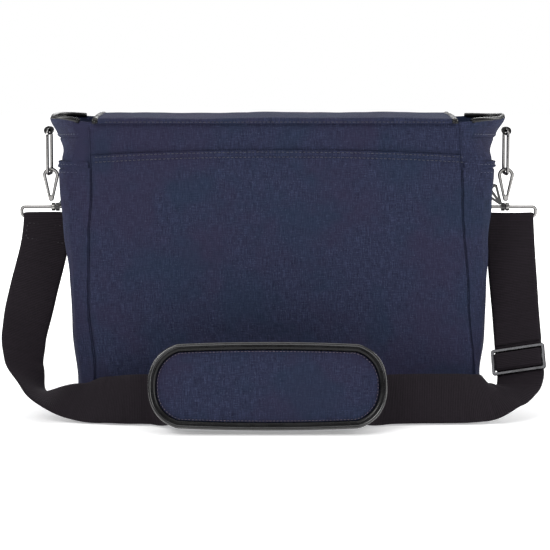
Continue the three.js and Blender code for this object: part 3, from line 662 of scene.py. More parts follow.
heights = np.concatenate([[0.6, 2.0, 5.0, 9.0], np.linspace(14, 250, 60),
                          np.linspace(253, 298, 46)])
loop = body_loop(heights)
tops = top_height(loop[-1])
share = np.clip((loop[..., 2] - 250) / 48.0, 0, 1)
loop[..., 2] = np.where(loop[..., 2] > 250, 250 + (tops[None, :] - 250) * share, loop[..., 2])
centre = np.array([5.0, 0.0])
out = loop[..., :2] - centre
across = out / np.linalg.norm(out, axis=-1)[..., None]
round_in = 3.0 * (1 - np.clip(loop[..., 2] / 9.0, 0, 1)) ** 2
loop[..., :2] -= across * round_in[..., None]
is_back = np.abs(loop[..., 1]) > 56.5
near_seam = np.where(loop[..., 0] < 0, loop[..., 0] - along(SEAM["left"], loop[..., 2]),
                     along(SEAM["right"], loop[..., 2]) - loop[..., 0])
swell = slack_cloth(loop[..., 0], loop[..., 2]) * ease(0, 30, near_seam)
swell *= np.where(loop[..., 1] < 0, 0.35, ease(20, 110, BODY_TOP - loop[..., 2]))
loop[..., 1] += np.where(is_back, np.sign(loop[..., 1]) * swell, 0)
side_swell = (slack_cloth(loop[..., 1] * 1.5 + 300, loop[..., 2])
              * ease(0, 20, 56 - np.abs(loop[..., 1])))
loop[..., 0] += np.where(is_back, 0, np.sign(loop[..., 0]) * side_swell * 0.5)
above_hem = loop[..., 2] - gusset_hem(loop[..., 1])
hem_step = 1.3 * ease(-0.6, 0.6, above_hem) - 1.2 * np.exp(-((above_hem + 0.5) / 1.0) ** 2)
loop[..., 0] += np.where(is_back, 0, np.sign(loop[..., 0]) * hem_step)
inner_loop = loop.copy()
inner_loop[..., :2] -= across * 2.6
run = np.concatenate([[0.0], np.cumsum(np.linalg.norm(np.diff(loop[30], axis=0), axis=1))])
uv = grid(np.broadcast_to(run[None, :], loop.shape[:2]), loop[..., 2])
shell = surface(loop * MM, inner_loop * MM, "body_shell", NAVY, loop=True, uvs=uv)
piece(shell, "bag", "back_panel", "front_panel", "gusset_left", "gusset_right", slot="fabric")

# Corner seams: a narrow corded ridge where the panels and the gussets are sewn together.
for side in ("left", "right"):
    for face, turn in (("back", 1), ("front", -1)):
        z = np.linspace(2, BODY_TOP - 2, 90)
        x = along(SEAM[side], z)
        line = np.stack([x - SIGN[side] * 0.6, (back_y(x, z) - 0.4) * turn, z], axis=-1)
        ridge = tube(f"seam_{side}_{face}", line * MM, 0.8 * MM, NAVY, 6)
        piece(ridge, "bag", slot="fabric")

# Base: cloth with a rounded edge under the board.
rows = np.linspace(-56, 56, 30)
cols = np.linspace(0, 1, 60)
yy, tt = np.meshgrid(rows, cols, indexing="ij")
lx = gusset_x("left", yy, 4.0 + 0 * yy) + 1.0
rx = gusset_x("right", yy, 4.0 + 0 * yy) - 1.0
xx = lx + (rx - lx) * tt
edge = np.minimum(np.minimum(56 - np.abs(yy), np.abs(xx - lx)), np.abs(rx - xx))
lift = 2.2 * (1 - np.clip(edge / 5.0, 0, 1)) ** 2
low = np.stack([xx, yy, 0.1 + lift], axis=-1)
high = np.stack([xx, yy, 3.6 + 0 * lift], axis=-1)
base = surface(high * MM, low * MM, "base_cloth", NAVY)
piece(base, "bag", "base_panel", slot="fabric")

# Lining: a soft black tub inside, a little slack.
hz = np.concatenate([[8.0, 10.0, 14.0], np.linspace(20, 286, 50)])
tub = body_loop(hz, 48, 30)
outward = (tub[..., :2] - centre) / np.linalg.norm(tub[..., :2] - centre, axis=-1)[..., None]
slack = 4.6 + 0.9 * (1 + ripple(tub[..., 0] * 1.6 + tub[..., 1], tub[..., 2], 3.0))
tub_out = tub.copy()
tub_out[..., :2] -= outward * slack[..., None]
tub_in = tub_out.copy()
tub_in[..., :2] -= outward * 0.8
lining = surface(tub_out * MM, tub_in * MM, "lining_cloth", LINING, loop=True)
piece(lining, "bag", "lining", slot="lining")
fy, ft = np.meshgrid(np.linspace(-50, 50, 20), np.linspace(0, 1, 50), indexing="ij")
fl = gusset_x("left", fy, 10.0 + 0 * fy) + 5.2
fr = gusset_x("right", fy, 10.0 + 0 * fy) - 5.2
fx = fl + (fr - fl) * ft
fz = 8.2 + 0.5 * (1 + ripple(fx, fy, 5.0))
floor_cloth = surface(grid(fx, fy, fz + 0.8), grid(fx, fy, fz),
                      "lining_floor", LINING)
piece(floor_cloth, "bag", slot="lining")
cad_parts["base_board"].data.materials.clear()
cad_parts["base_board"].data.materials.append(LINING)

# Organiser pocket on the inside of the back wall.
oz, ox = np.meshgrid(np.linspace(76, 205, 30), np.linspace(-150, 150, 60), indexing="ij")
sag = 2.2 * np.abs(np.sin(np.pi * (ox + 150) / 100)) * ease(76, 205, oz)
oy = -48.4 + sag
organiser = surface(grid(ox, oy + 0.6, oz), grid(ox, oy - 0.6, oz),
                    "organiser_cloth", LINING)
piece(organiser, "bag", "organiser_pocket", slot="lining")

stitch_lines = []
gusset_lines = []


def keep_line(points, normal, lines=stitch_lines):
    points = np.asarray(points, dtype=float) * MM
    normals = np.broadcast_to(np.asarray(normal, dtype=float), points.shape)
    lines.append((points, normals))


def lay_on(obj, points, s, clear=0.25):
    """Points moved in x onto the outer face of an object, standing a little clear of it."""
    tree = BVHTree.FromPolygons([v.co[:] for v in obj.data.vertices],
                                [p.vertices[:] for p in obj.data.polygons])
    laid = np.array(points, dtype=float)
    for point in laid:
        start = Vector(((point[0] + s * 30) * MM, point[1] * MM, point[2] * MM))
        hit = tree.ray_cast(start, Vector((-s, 0.0, 0.0)))[0]
        if hit is not None:
            point[0] = hit.x / MM + s * clear
    return laid


# Back slip pocket: one flat layer with a turned and stitched hem, a little higher in
# the middle than at the sides.
def slip_top(x):
    return 261.5 + 6.0 * (1 - (np.abs(x - 5) / 195) ** 2.2)


pv, pu = np.meshgrid(np.concatenate([np.linspace(0, 0.93, 60), np.linspace(0.94, 1, 16)]),
                     np.linspace(0, 1, 120), indexing="ij")
seam_l = along(SEAM["left"], pv * 262) + 1.7
seam_r = along(SEAM["right"], pv * 262) - 1.7
px = seam_l + (seam_r - seam_l) * pu
pz = 6 + (slip_top(px) - 6) * pv
below = slip_top(px) - pz
hem = 0.9 * (1 - ease(6.3, 7.2, below)) - 0.55 * np.exp(-((below - 6.8) / 0.7) ** 2)
edge_flat = np.minimum(pu, 1 - pu)
puff = (0.8 * ripple(px, pz, 2.0) * ease(0, 0.06, edge_flat)
        + 1.0 * ease(0, 0.1, edge_flat) * np.sin(np.pi * pv))
py = back_y(px, pz) - 1.6 - 0.7 - puff - hem
slip_out = np.stack([px, py, pz], -1)
slip_in = np.stack([px, py + 1.5, pz], -1)
slip = surface(slip_out * MM, slip_in * MM, "slip_pocket_cloth", NAVY)
piece(slip, "bag", "back_slip_pocket", slot="fabric")
for drop in (1.6, 6.6):
    x = np.linspace(-180, 188, 200)
    z = slip_top(x) - drop
    keep_line(np.stack([x, back_y(x, z) - 4.4 - 0.8 * ripple(x, z, 2.0), z], -1), (0, -1, 0))

# Bottle pockets: bulging, gathered into an elastic hem.
for side in ("left", "right"):
    s = SIGN[side]
    qz, qy = np.meshgrid(np.concatenate([np.linspace(5, 236, 60), np.linspace(238, HEM + 3, 24)]),
                         np.linspace(-56.4, 56.4, 76), indexing="ij")
    top = HEM + 3 - 0.02 * (qy + 10)
    qz = 5 + (qz - 5) * (top - 5) / (HEM - 2)
    below = top - qz
    corner = 1 - ease(0, 5.0, 56.4 - np.abs(qy))
    x = side_x(side, qy, qz)
    x = x + (along(SEAM[side], qz) + s * 1.3 - x) * corner
    qy = qy + np.sign(qy) * 2.6 * corner
    hem = 1.0 * (1 - ease(6.0, 7.0, below)) - 1.3 * np.exp(-((below - 7.4) / 0.9) ** 2)
    piping = 1.1 * np.exp(-((below - 0.8) / 0.9) ** 2) + 0.9 * np.exp(-((below - 5.4) / 1.0) ** 2)
    fold = (1.7 * np.exp(-((qy + 41 + 0.04 * qz) / 4.5) ** 2)
            * ease(20, 120, qz) * ease(0, 30, below))
    gather = 0.5 * np.sin(qy * 0.55 + 1.3 * s) * np.exp(-(below / 26.0) ** 2)
    slackness = 0.9 * ripple(qy * 1.3, qz, 4.0 + s) * ease(-57, -40, qy)
    slackness = slackness + 0.5 + 0.5 * np.maximum(
        slack_cloth(qy * 1.5 + 300, qz) * ease(0, 20, 56 - np.abs(qy)), -0.6)
    x = x + s * (hem + piping + gather + slackness - fold * (0.6 if s < 0 else 1.0))
    pocket = surface(grid(x, qy, qz), grid(x - s * 1.5, qy, qz),
                     f"bottle_pocket_cloth_{side}", NAVY)
    piece(pocket, "bag", f"bottle_pocket_{side}", slot="fabric")
    y = np.linspace(-55, 55, 80)
    for drop, clear in ((2.0, 1.5), (10.0, 1.1)):
        z = HEM + 3 - drop - 0.05 * (y + 55)
        sewn = np.stack([side_x(side, y, z) + s * clear, y, z], -1)
        keep_line(lay_on(pocket, sewn, s), (s, -0.15, 0), gusset_lines)

    # The gusset's own top hem, stitched, and its black edge tape.
    z = gusset_hem(y) + 2.2
    sewn = np.stack([gusset_x(side, y, z) + s * 1.9, y, z], -1)
    keep_line(lay_on(shell, sewn, s), (s, -0.15, 0), gusset_lines)
    ty = np.linspace(-56, 56, 80)
    wing = ease(183, 215, np.abs(gusset_x(side, ty, 297 + 0 * ty)))
    tz = BODY_TOP + CLOTH_RISE + 2.0 * wing + 0.8 * wing * np.sin(ty * 0.08 + s)
    tx = gusset_x(side, ty, tz) - s * 1.3
    tape = tube(f"edge_tape_{side}", grid(tx, ty, tz + 0.4), 2.6 * MM, LEATHER, 10,
                flat=0.85, up=(s * 1.0, 0.0, 0.0))
    piece(tape, "bag", f"gusset_binding_{side}", slot="leather")

# Front patch pockets with a box pleat and a hem.
for side in ("left", "right"):
    s = SIGN[side]
    gz, gu = np.meshgrid(np.linspace(14, 200, 60), np.linspace(0, 1, 60), indexing="ij")
    gx = s * (8 + 158 * gu)
    below = 200 - gz
    pleat = 1.5 * np.exp(-(((gu - 0.5) / 0.05) ** 2)) * ease(14, 60, gz)
    hem = 0.7 * (1 - ease(16, 17.5, below)) - 0.5 * np.exp(-((below - 17) / 0.9) ** 2)
    edge = np.minimum(gu, 1 - gu)
    seam_gap = np.minimum(gx - along(SEAM["left"], gz), along(SEAM["right"], gz) - gx)
    gy = (-back_y(gx, gz) + slack_cloth(gx, gz) * ease(0, 30, seam_gap) + 2.2 + pleat + hem
          + 0.6 * (1 + ripple(gx, gz, 6.0 + s)) * ease(0, 0.1, edge))
    patch = surface(grid(gx, gy, gz), grid(gx, gy - 1.4, gz),
                    f"front_pocket_cloth_{side}", NAVY)
    piece(patch, "bag", f"front_pocket_{side}", slot="fabric")
    for drop in (2.0, 16.6):
        x = s * np.linspace(10, 164, 60)
        z = 200 - drop + 0 * x
        lift = slack_cloth(x, z) * ease(0, 30, np.minimum(x - along(SEAM["left"], z),
                                                      along(SEAM["right"], z) - x))
        keep_line(np.stack([x, -back_y(x, z) + lift + 3.9, z], -1), (0, 1, 0))

piece(stitches("body_stitches", stitch_lines, THREAD), "bag", slot="fabric")
piece(stitches("gusset_stitches", gusset_lines, THREAD_BLUE), "bag", slot="fabric")

# ------------------------------------------------------------------ the flap
FLAP_HALF = 181.0
FLAP_BACK = -58.6
FLAP_FRONT = 68.0
FLAP_DROP = 92.0
SPLIT_Y = 20.0


def flap_top_z(x, y):
    t = (y - FLAP_BACK) / (FLAP_FRONT - FLAP_BACK)
    wave = 0.9 * np.sin(x * 0.019 + 0.6) + 0.7 * np.sin(x * 0.052 + 2.0)
    return (297.9 + 2.0 * np.sin(np.pi * np.minimum(t * 1.15, 1))
            + wave * np.sin(np.pi * (0.15 + 0.85 * t)))


def flap_line(x, t):
    """The flap's cloth from its seam low on the back, t 0, over the top, to its front hem, t 1."""
    rise = 0.6
    turn_y = -60.2
    turn_r = 4.4
    turn_s = turn_r * math.pi / 2
    top_start = turn_y + turn_r
    corner = 9.0
    bend = corner * math.pi / 2
    flat_s = FLAP_FRONT - corner - top_start
    side = np.maximum(np.abs(x) - (FLAP_HALF - 26), 0)
    drop = FLAP_DROP + 26 - np.sqrt(np.maximum(26 ** 2 - side ** 2, 0))
    down = 289 - corner - drop
    total = rise + turn_s + flat_s + bend + down
    s = t * total
    low_z = 294.0
    y = turn_y + 0 * s
    z = low_z + np.minimum(s, rise)
    crest = flap_top_z(x, top_start + 0 * x)
    angle = np.clip((s - rise) / turn_s, 0, 1) * math.pi / 2
    y = y + turn_r * (1 - np.cos(angle))
    z = z + (crest - low_z - rise) * np.sin(angle)
    on_top = np.clip(s - rise - turn_s, 0, flat_s)
    y = y + on_top
    z = np.where(on_top > 0, flap_top_z(x, y), z)
    over = np.clip((s - rise - turn_s - flat_s) / bend, 0, 1) * math.pi / 2
    edge_z = flap_top_z(x, FLAP_FRONT - corner + 0 * x)
    y = y + corner * np.sin(over)
    z = np.where(over > 0, edge_z - corner + corner * np.cos(over), z)
    fall = np.maximum(s - (rise + turn_s + flat_s + bend), 0)
    z = np.where(fall > 0, edge_z - corner - fall, z)
    bow = 2.5 * np.sin(np.pi * np.clip(fall / 190, 0, 1)) * (1 - (x / 200) ** 2)
    y = y + bow
    return np.stack([x, y, z], -1)


def flap_normal(points):
    du = np.gradient(points, axis=1)
    dv = np.gradient(points, axis=0)
    n = np.cross(du, dv)
    n /= np.linalg.norm(n, axis=-1)[..., None]
    if n[60, 60, 2] < 0:
        n = -n
    return n


ts = np.linspace(0, 1, 240)
line0 = flap_line(np.zeros(240), ts)
split_k = int(np.argmin(np.abs(line0[:, 1] - SPLIT_Y) + (line0[:, 2] < 290) * 1000))
xs = np.linspace(-FLAP_HALF, FLAP_HALF, 130)
tg, xg = np.meshgrid(ts, xs, indexing="ij")
flap_mid = flap_line(xg, tg)
normal = flap_normal(flap_mid)
crumple = 0.7 * ripple(xg, tg * 300, 8.0) * ease(0, 0.05, tg)
flap_mid = flap_mid + normal * crumple[..., None]
flap_out = flap_mid + normal * 1.5
flap_in = flap_mid - normal * 1.2
flap_uv = grid(xg + 200, tg * 320)
top_cloth = surface(flap_out[:split_k + 1] * MM, flap_in[:split_k + 1] * MM, "flap_top_cloth", NAVY,
                    uvs=flap_uv[:split_k + 1])
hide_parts("flap_top")
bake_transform(top_cloth)
front_cloth = surface(flap_out[split_k:] * MM, flap_in[split_k:] * MM, "flap_front_cloth", NAVY,
                      uvs=flap_uv[split_k:])
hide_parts("flap_front")
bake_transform(front_cloth)


TAPE_RADIUS = 3.4 * MM
TAPE_FLAT = 0.72


def bound_edge(name, points, normals):
    """A folded tape along a cloth edge: a flattened tube that wraps both faces."""
    made = tube(name, points * MM, TAPE_RADIUS, LEATHER, 10, flat=TAPE_FLAT, up=normals)
    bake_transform(made)
    return made


for side, column in (("left", 0), ("right", -1)):
    shift = 2.2 * (1 if side == "left" else -1)
    line = flap_mid[:, column] + np.array([shift, 0, 0])
    nn = normal[:, column]
    bound_edge(f"flap_tape_top_{side}", line[:split_k + 1], nn[:split_k + 1])
    bound_edge(f"flap_tape_front_{side}", line[split_k:-1], nn[split_k:-1])
hem_line = flap_mid[-1] + np.array([0, 0, 2.0])
hem_tape = tube("flap_tape_hem", hem_line * MM, TAPE_RADIUS, LEATHER, 10, flat=TAPE_FLAT,
                up=normal[-1])
piece(hem_tape, "flap_front", slot="leather")

# Zipped pocket on the flap: tape, teeth, and the CAD slider and pull.
ZIP_Z = 214
ZIP_HALF = 7
zx, zz = np.meshgrid(np.linspace(-120, 120, 90),
                     np.linspace(ZIP_Z - ZIP_HALF, ZIP_Z + ZIP_HALF, 12), indexing="ij")
zy = 73.4 + 0.6 * (1 - np.abs(zz - ZIP_Z) / ZIP_HALF) + 0 * zx
tape = surface(grid(zx, zy, zz), grid(zx, zy - 1.2, zz),
               "zip_tape_cloth", LINING)
piece(tape, "flap_front", "zip_tape", slot="lining")
verts = []
faces = []
for k in range(146):
    x = -116 + k * 1.6
    z0 = 213.2 if k % 2 else 214.0
    base = len(verts)
    for dx in (-0.45, 0.45):
        for dz in (0.0, 0.9):
            for dy in (0.0, 0.8):
                verts.append(np.array([x + dx, 74.0 + dy, z0 + dz - 0.1]) * MM)
    faces += [(base, base + 1, base + 3, base + 2), (base + 4, base + 6, base + 7, base + 5),
              (base, base + 4, base + 5, base + 1), (base + 2, base + 3, base + 7, base + 6),
              (base, base + 2, base + 6, base + 4), (base + 1, base + 5, base + 7, base + 3)]
teeth = new_object("zip_teeth", verts, faces, NICKEL, [(0.0, 0.0)] * len(verts), smooth=False)
flip_if_inside_out(teeth)
piece(teeth, "flap_front", slot="nickel")
flap_lines = []
for level in (205.5, 222.5):
    x = np.linspace(-122, 122, 120)
    flap_lines.append((grid(x, 72.9 + 0 * x, level + 0 * x),
                       np.tile((0.0, 1.0, 0.0), (120, 1))))
for inset in (8.0,):
    k = np.arange(split_k + 40, 238)
    for column in (4, -5):
        flap_lines.append((flap_out[k, column] * MM, normal[k, column]))
    flap_lines.append((flap_out[-8, 6:-6] * MM, normal[-8, 6:-6]))
piece(stitches("flap_stitches", flap_lines, THREAD), "flap_front", slot="fabric")
back_seam = [(flap_out[1, 4:-4] * MM, normal[1, 4:-4])]
seam_stitch = stitches("flap_back_stitches", back_seam, THREAD)
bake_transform(seam_stitch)


# ----------------------------------------------------------------- the strap
def spline(stops, steps):
    """Centripetal Catmull-Rom line through the stops, with the direction across it."""
    pts = np.array([s[:3] for s in stops], dtype=float)
    wide = np.array([s[3:6] for s in stops], dtype=float)
    wide /= np.linalg.norm(wide, axis=1)[:, None]
    ext = np.vstack([2 * pts[0] - pts[1], pts, 2 * pts[-1] - pts[-2]])
    line = []
    cross = []
    for i in range(len(pts) - 1):
        p0, p1, p2, p3 = ext[i:i + 4]
        d1 = max(np.linalg.norm(p1 - p0) ** 0.5, 1e-4)
        d2 = max(np.linalg.norm(p2 - p1) ** 0.5, 1e-4)
        d3 = max(np.linalg.norm(p3 - p2) ** 0.5, 1e-4)
        m1 = d2 * ((p1 - p0) / d1 - (p2 - p0) / (d1 + d2) + (p2 - p1) / d2)
        m2 = d2 * ((p2 - p1) / d2 - (p3 - p1) / (d2 + d3) + (p3 - p2) / d3)
        for k in range(steps if i < len(pts) - 2 else steps + 1):
            t = k / steps
            a = 2 * t ** 3 - 3 * t ** 2 + 1
            b = t ** 3 - 2 * t ** 2 + t
            c = -2 * t ** 3 + 3 * t ** 2
            d = t ** 3 - t ** 2
            line.append(a * p1 + b * m1 + c * p2 + d * m2)
            e = t * t * (3 - 2 * t)
            w = wide[i] * (1 - e) + wide[i + 1] * e
            cross.append(w / np.linalg.norm(w))
    line = np.array(line)
    cross = np.array(cross)
    ahead = np.gradient(line, axis=0)
    ahead /= np.linalg.norm(ahead, axis=1)[:, None]
    cross -= ahead * np.sum(cross * ahead, axis=1)[:, None]
    cross /= np.linalg.norm(cross, axis=1)[:, None]
    return line, cross, np.cross(ahead, cross)


WEB_WIDTH = 49.0
WEB_THICK = 1.8


def webbing(name, stops, steps, width=WEB_WIDTH, thick=WEB_THICK, curl=0.5):
    line, cross, out_n = spline(stops, steps)
    run = lengths(line)
    t = np.linspace(-1, 1, 17)
    half = width / 2
    bend = curl * (1 - t ** 2)
    body = thick / 2 * (1 - 0.55 * np.clip((np.abs(t) - 0.9) / 0.1, 0, 1))
    mid = line[:, None, :] + cross[:, None, :] * (t * half)[None, :, None] \
        + out_n[:, None, :] * bend[None, :, None]
    outer = mid + out_n[:, None, :] * body[None, :, None]
    inner = mid - out_n[:, None, :] * body[None, :, None]
    uvs = np.stack(np.meshgrid(t * half, run), -1) * MM
    made = surface(outer * MM, inner * MM, name, WEBBING, uvs=uvs)
    return made, float(run[-1]) * MM, (line, cross, out_n)


LOOP_TOP = 206.5
LOOP_HEIGHT = 13.0
LOOP_WIRE = 3.2
BAR_Z = LOOP_TOP - LOOP_HEIGHT + LOOP_WIRE / 2
OVER = LOOP_WIRE / 2 + 0.8 + WEB_THICK / 2


def over_bar(x, across_x):
    stops = []
    for k in range(7):
        turn = math.pi * (k - 1) / 4
        y = HARDWARE_Y + OVER * math.cos(min(max(turn, 0), math.pi))
        z = BAR_Z + (-3 if k in (0, 6) else OVER * math.sin(turn))
        stops.append((x, y, z, across_x, 0, 0))
    return stops


LEAN = math.radians(14)
PAD_X, PAD_Y = -7.0, -149.0
PAD_WIDTH, PAD_LENGTH, PAD_THICK = 86.0, 232.0, 18.0
PAD_Z = PAD_WIDTH / 2 * math.cos(LEAN) + PAD_THICK / 2 * math.sin(LEAN) + 0.6
web_back = PAD_THICK / 2 + 1 + 0.4 + 2 + 0.4 + 1.4 + 0.4 + WEB_THICK / 2
keeper_half = WEB_WIDTH / 2 + 2.5
web_down = (PAD_Z - web_back * math.sin(LEAN) - 2.8) / math.cos(LEAN) - keeper_half
run_y = PAD_Y + web_back * math.cos(LEAN) - web_down * math.sin(LEAN)
run_z = PAD_Z - web_back * math.sin(LEAN) - web_down * math.cos(LEAN)
lean_w = (0, math.sin(LEAN), math.cos(LEAN))
straight = 60 + 11 + 14
LEG_W = (-0.92, 0.34, -0.18)


def leg(z, off):
    return (247 + (z - 46) * -0.048, -57 + (z - 46) * 0.456 - off, z) + LEG_W


strap_stops = [
    (-235, HARDWARE_Y + OVER + 0.8, 168, 1, 0, -0.1),
    *over_bar(-234, 1),
    (-237, HARDWARE_Y - OVER - 3, 166, 1, 0, -0.12),
    (-248, -14, 118, 0.98, 0.1, -0.16),
    (-255, -38, 76, 0.84, 0.54, -0.1),
    (-253, -56, 52, 0.62, 0.78, 0),
    (-238, -76, 26, 0.04, 0.99, 0.1),
    (-200, -84, 19, -0.02, 0.83, 0.56),
    (-168, -98, 22.5, 0, 0.53, 0.85),
    (-136, -108.9, 25, 0, 0.26, 0.96),
    (-126.4, -110.3, 25.2, 0, 0.24, 0.97),
    (-120, -112.2, 25.2, 0, 0.24, 0.97),
    (-111, -119, 25.2, 0, 0.24, 0.97),
    (PAD_X - straight - 7, run_y + 2.4, run_z, *lean_w),
    (PAD_X - straight, run_y, run_z, *lean_w),
    (PAD_X - straight + 9, run_y, run_z, *lean_w),
    (PAD_X, run_y, run_z, *lean_w),
    (PAD_X + straight - 9, run_y, run_z, *lean_w),
    (PAD_X + straight, run_y, run_z, *lean_w),
    (PAD_X + straight + 7, run_y + 2.4, run_z, *lean_w),
    (98, -118.5, 25.2, 0, 0.24, 0.97),
    (114, -111, 25.2, 0, 0.24, 0.97),
    (142, -107.4, 25.2, 0, 0.2, 0.98),
    (150, -107, 25.2, 0, 0.2, 0.98),
    (178, -105, 25, -0.02, 0.26, 0.96),
    (204, -99, 24.5, -0.1, 0.45, 0.88),
    (230, -84, 25.5, -0.3, 0.88, 0.34),
    (243, -71, 29.5, -0.75, 0.62, 0.05),
    leg(38, 0),
    leg(68, 0),
    leg(100, 0),
    (241.8, -4, 162, -1, 0.1, -0.05),
    (241.5, HARDWARE_Y + OVER - 0.2, BAR_Z - 9, -1, 0, 0),
    (241.5, HARDWARE_Y + OVER, BAR_Z - 3.5, -1, 0, 0),
]
POINTS_PER_STOP = 14
strap, strap_length, strap_path = webbing("strap_webbing", strap_stops, POINTS_PER_STOP)
piece(strap, "strap", "webbing_left", "webbing_run", "webbing_right_back", slot="webbing")

LAYERS = 3.1
front_stops = [
    *over_bar(241.5, -1),
    (241.8, -4 - LAYERS - 0.6, 162, -1, 0.1, -0.05),
    leg(100, LAYERS),
    leg(72, LAYERS),
]
front_web, front_length, _ = webbing("strap_webbing_front", front_stops, POINTS_PER_STOP)
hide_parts("webbing_right_front")
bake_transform(front_web)

# The webbing's end sewn round the adjuster's middle bar.
up = Vector((-0.048, 0.456, 1)).normalized()
ax = -Vector(LEG_W)
ax = (ax - up * ax.dot(up)).normalized()
out_v = ax.cross(up)
at = Vector(leg(55, 0)[:3]) + out_v * LAYERS * 0.93
wrap_stops = []
for v, n in ((11.5, -0.4), (8.4, -0.2), (6.6, 2.2), (2.6, 2.9),
             (-2.6, 2.9), (-6.6, 2.2), (-8.4, -0.2)):
    q = at + up * v + out_v * n
    wrap_stops.append((q.x, q.y, q.z, -ax.x, -ax.y, -ax.z))
wrap, wrap_length, _ = webbing("adjuster_webbing", wrap_stops[1:], 8, curl=0.0)
piece(wrap, "adjuster", "adjuster_wrap", slot="webbing")

# Box stitching where the left end is sewn back on itself.
line, cross, out_n = strap_path
box_lines = []
start = 8 * POINTS_PER_STOP
span = np.arange(start - 10, start - 1)
for width in (-20, 20):
    pts = line[span] + cross[span] * width + out_n[span] * (-0.9 if out_n[span[0]][1] > 0 else 0.9)
    box_lines.append((pts * MM, out_n[span] * (-1 if out_n[span[0]][1] > 0 else 1)))
for k in (span[0], span[-1]):
    w = np.linspace(-20, 20, 12)[:, None]
    pts = line[k] + cross[k] * w + out_n[k] * (-0.9 if out_n[k][1] > 0 else 0.9)
    nn = np.tile(out_n[k] * (-1 if out_n[k][1] > 0 else 1), (12, 1))
    box_lines.append((pts * MM, nn))
piece(stitches("strap_stitches", box_lines, THREAD_BLACK), "strap", slot="webbing")

# ------------------------------------------------------------ the shoulder pad
PAD_POSE = Matrix((
    (1, 0, 0, PAD_X * MM),
    (0, math.sin(LEAN), -math.cos(LEAN), PAD_Y * MM),
    (0, math.cos(LEAN), math.sin(LEAN), PAD_Z * MM),
    (0, 0, 0, 1),
))


def on_pad(points):
    m = np.array(PAD_POSE)
    return points @ m[:3, :3].T + m[:3, 3]


def stadium(inset, count):
    """Points round the pad's outline, inset from its edge."""
    hx = PAD_LENGTH / 2 - inset
    hy = PAD_WIDTH / 2 - inset
    pts = []
    for k in range(count):
        a = 2 * math.pi * k / count
        c, s = math.cos(a), math.sin(a)
        x = (hx - hy) * np.clip(c * 3.0, -1, 1) + hy * np.sign(c) * abs(c) ** 0.95
        y = hy * np.sign(s) * abs(s) ** 0.86
        pts.append((x, y))
    return np.array(pts)


def pad_blank():
    """The pad's foam and cover before it swells: a crowned slab with a narrow rim."""
    ring_n = 220
    rings = 26
    outline = stadium(5.4, ring_n)
    verts = [(0.0, 0.0, PAD_THICK / 2 + 0.6)]
    for r in range(1, rings + 1):
        f = r / rings
        crown = (1 - f ** 4.2) ** 0.75
        for x, y in outline:
            verts.append((x * f, y * f, 2.6 + (PAD_THICK / 2 - 2.0) * crown))
    faces = [(0, 1 + k, 1 + (k + 1) % ring_n) for k in range(ring_n)]
    for r in range(rings - 1):
        for k in range(ring_n):
            a = 1 + r * ring_n + k
            b = 1 + r * ring_n + (k + 1) % ring_n
            faces.append((a, a + ring_n, b + ring_n, b))
    rim = len(verts) - ring_n
    low = len(verts)
    verts += [(x, y, -PAD_THICK / 2 + 2.0) for x, y in outline]
    verts.append((0.0, 0.0, -PAD_THICK / 2 + 1.4))
    for k in range(ring_n):
        n = (k + 1) % ring_n
        faces.append((rim + k, low + k, low + n, rim + n))
        faces.append((len(verts) - 1, low + n, low + k))
    return np.array(verts) * MM, faces


def swell(obj, pressure, cap, pinned):
    """Remesh a padded piece, let cloth under pressure swell it, and keep the result."""
    remesh = obj.modifiers.new("remesh", "REMESH")
    remesh.mode = "VOXEL"
    remesh.voxel_size = 0.004
    graph = bpy.context.evaluated_depsgraph_get()
    mesh = bpy.data.meshes.new_from_object(obj.evaluated_get(graph))
    obj.modifiers.clear()
    obj.data = mesh
    before = np.array([v.co for v in mesh.vertices])
    group = obj.vertex_groups.new(name="held")
    for index in np.nonzero(pinned(before))[0]:
        group.add([int(index)], 1.0, "REPLACE")
    cloth = obj.modifiers.new("cloth", "CLOTH")
    cloth.settings.use_pressure = True
    cloth.settings.uniform_pressure_force = pressure
    cloth.settings.vertex_group_mass = "held"
    cloth.settings.effector_weights.gravity = 0.0
    cloth.collision_settings.use_self_collision = False
    cloth.collision_settings.use_collision = False
    for frame_number in range(1, 21):
        bpy.context.scene.frame_set(frame_number)
    graph = bpy.context.evaluated_depsgraph_get()
    puffed = obj.evaluated_get(graph).to_mesh()
    after = np.array([v.co for v in puffed.vertices])
    obj.evaluated_get(graph).to_mesh_clear()
    bpy.context.scene.frame_set(1)
    move = after - before
    size = np.linalg.norm(move, axis=1)[:, None]
    before = before + move * np.minimum(1.0, cap / np.maximum(size, 1e-9))
    obj.modifiers.clear()
    obj.vertex_groups.clear()
    return before


verts, faces = pad_blank()
pad = new_object("pad_cloth", verts, faces, NAVY, verts[:, :2])
flip_if_inside_out(pad)
pad_shape = swell(pad, 4.0, 0.005, lambda p: (p[:, 2] < 0.0) | (
    (np.abs(p[:, 1]) > 0.0355)
    | (np.hypot(np.maximum(np.abs(p[:, 0]) - 0.073, 0), p[:, 1]) > 0.0355)))
pad_shape[:, 2] += (0.0004 * ripple(pad_shape[:, 0] * 1300, pad_shape[:, 1] * 1300, 9.0)
                    * (pad_shape[:, 2] > 0.004))
pad_polygons = [tuple(f.vertices) for f in pad.data.polygons]
PAD_SURFACE = BVHTree.FromPolygons([Vector(v) for v in pad_shape], pad_polygons)
layer = pad.data.uv_layers.new(name="cloth")
index = np.empty(len(pad.data.loops), dtype=np.int64)
pad.data.loops.foreach_get("vertex_index", index)
layer.data.foreach_set("uv", pad_shape[index][:, :2].astype(np.float32).ravel())
pad.data.vertices.foreach_set("co", on_pad(pad_shape).astype(np.float32).ravel())
pad.data.polygons.foreach_set("use_smooth", [True] * len(pad.data.polygons))
pad.data.update()
smooth_pad = pad.modifiers.new("smooth", "SUBSURF")
smooth_pad.levels = 1
smooth_pad.render_levels = 1
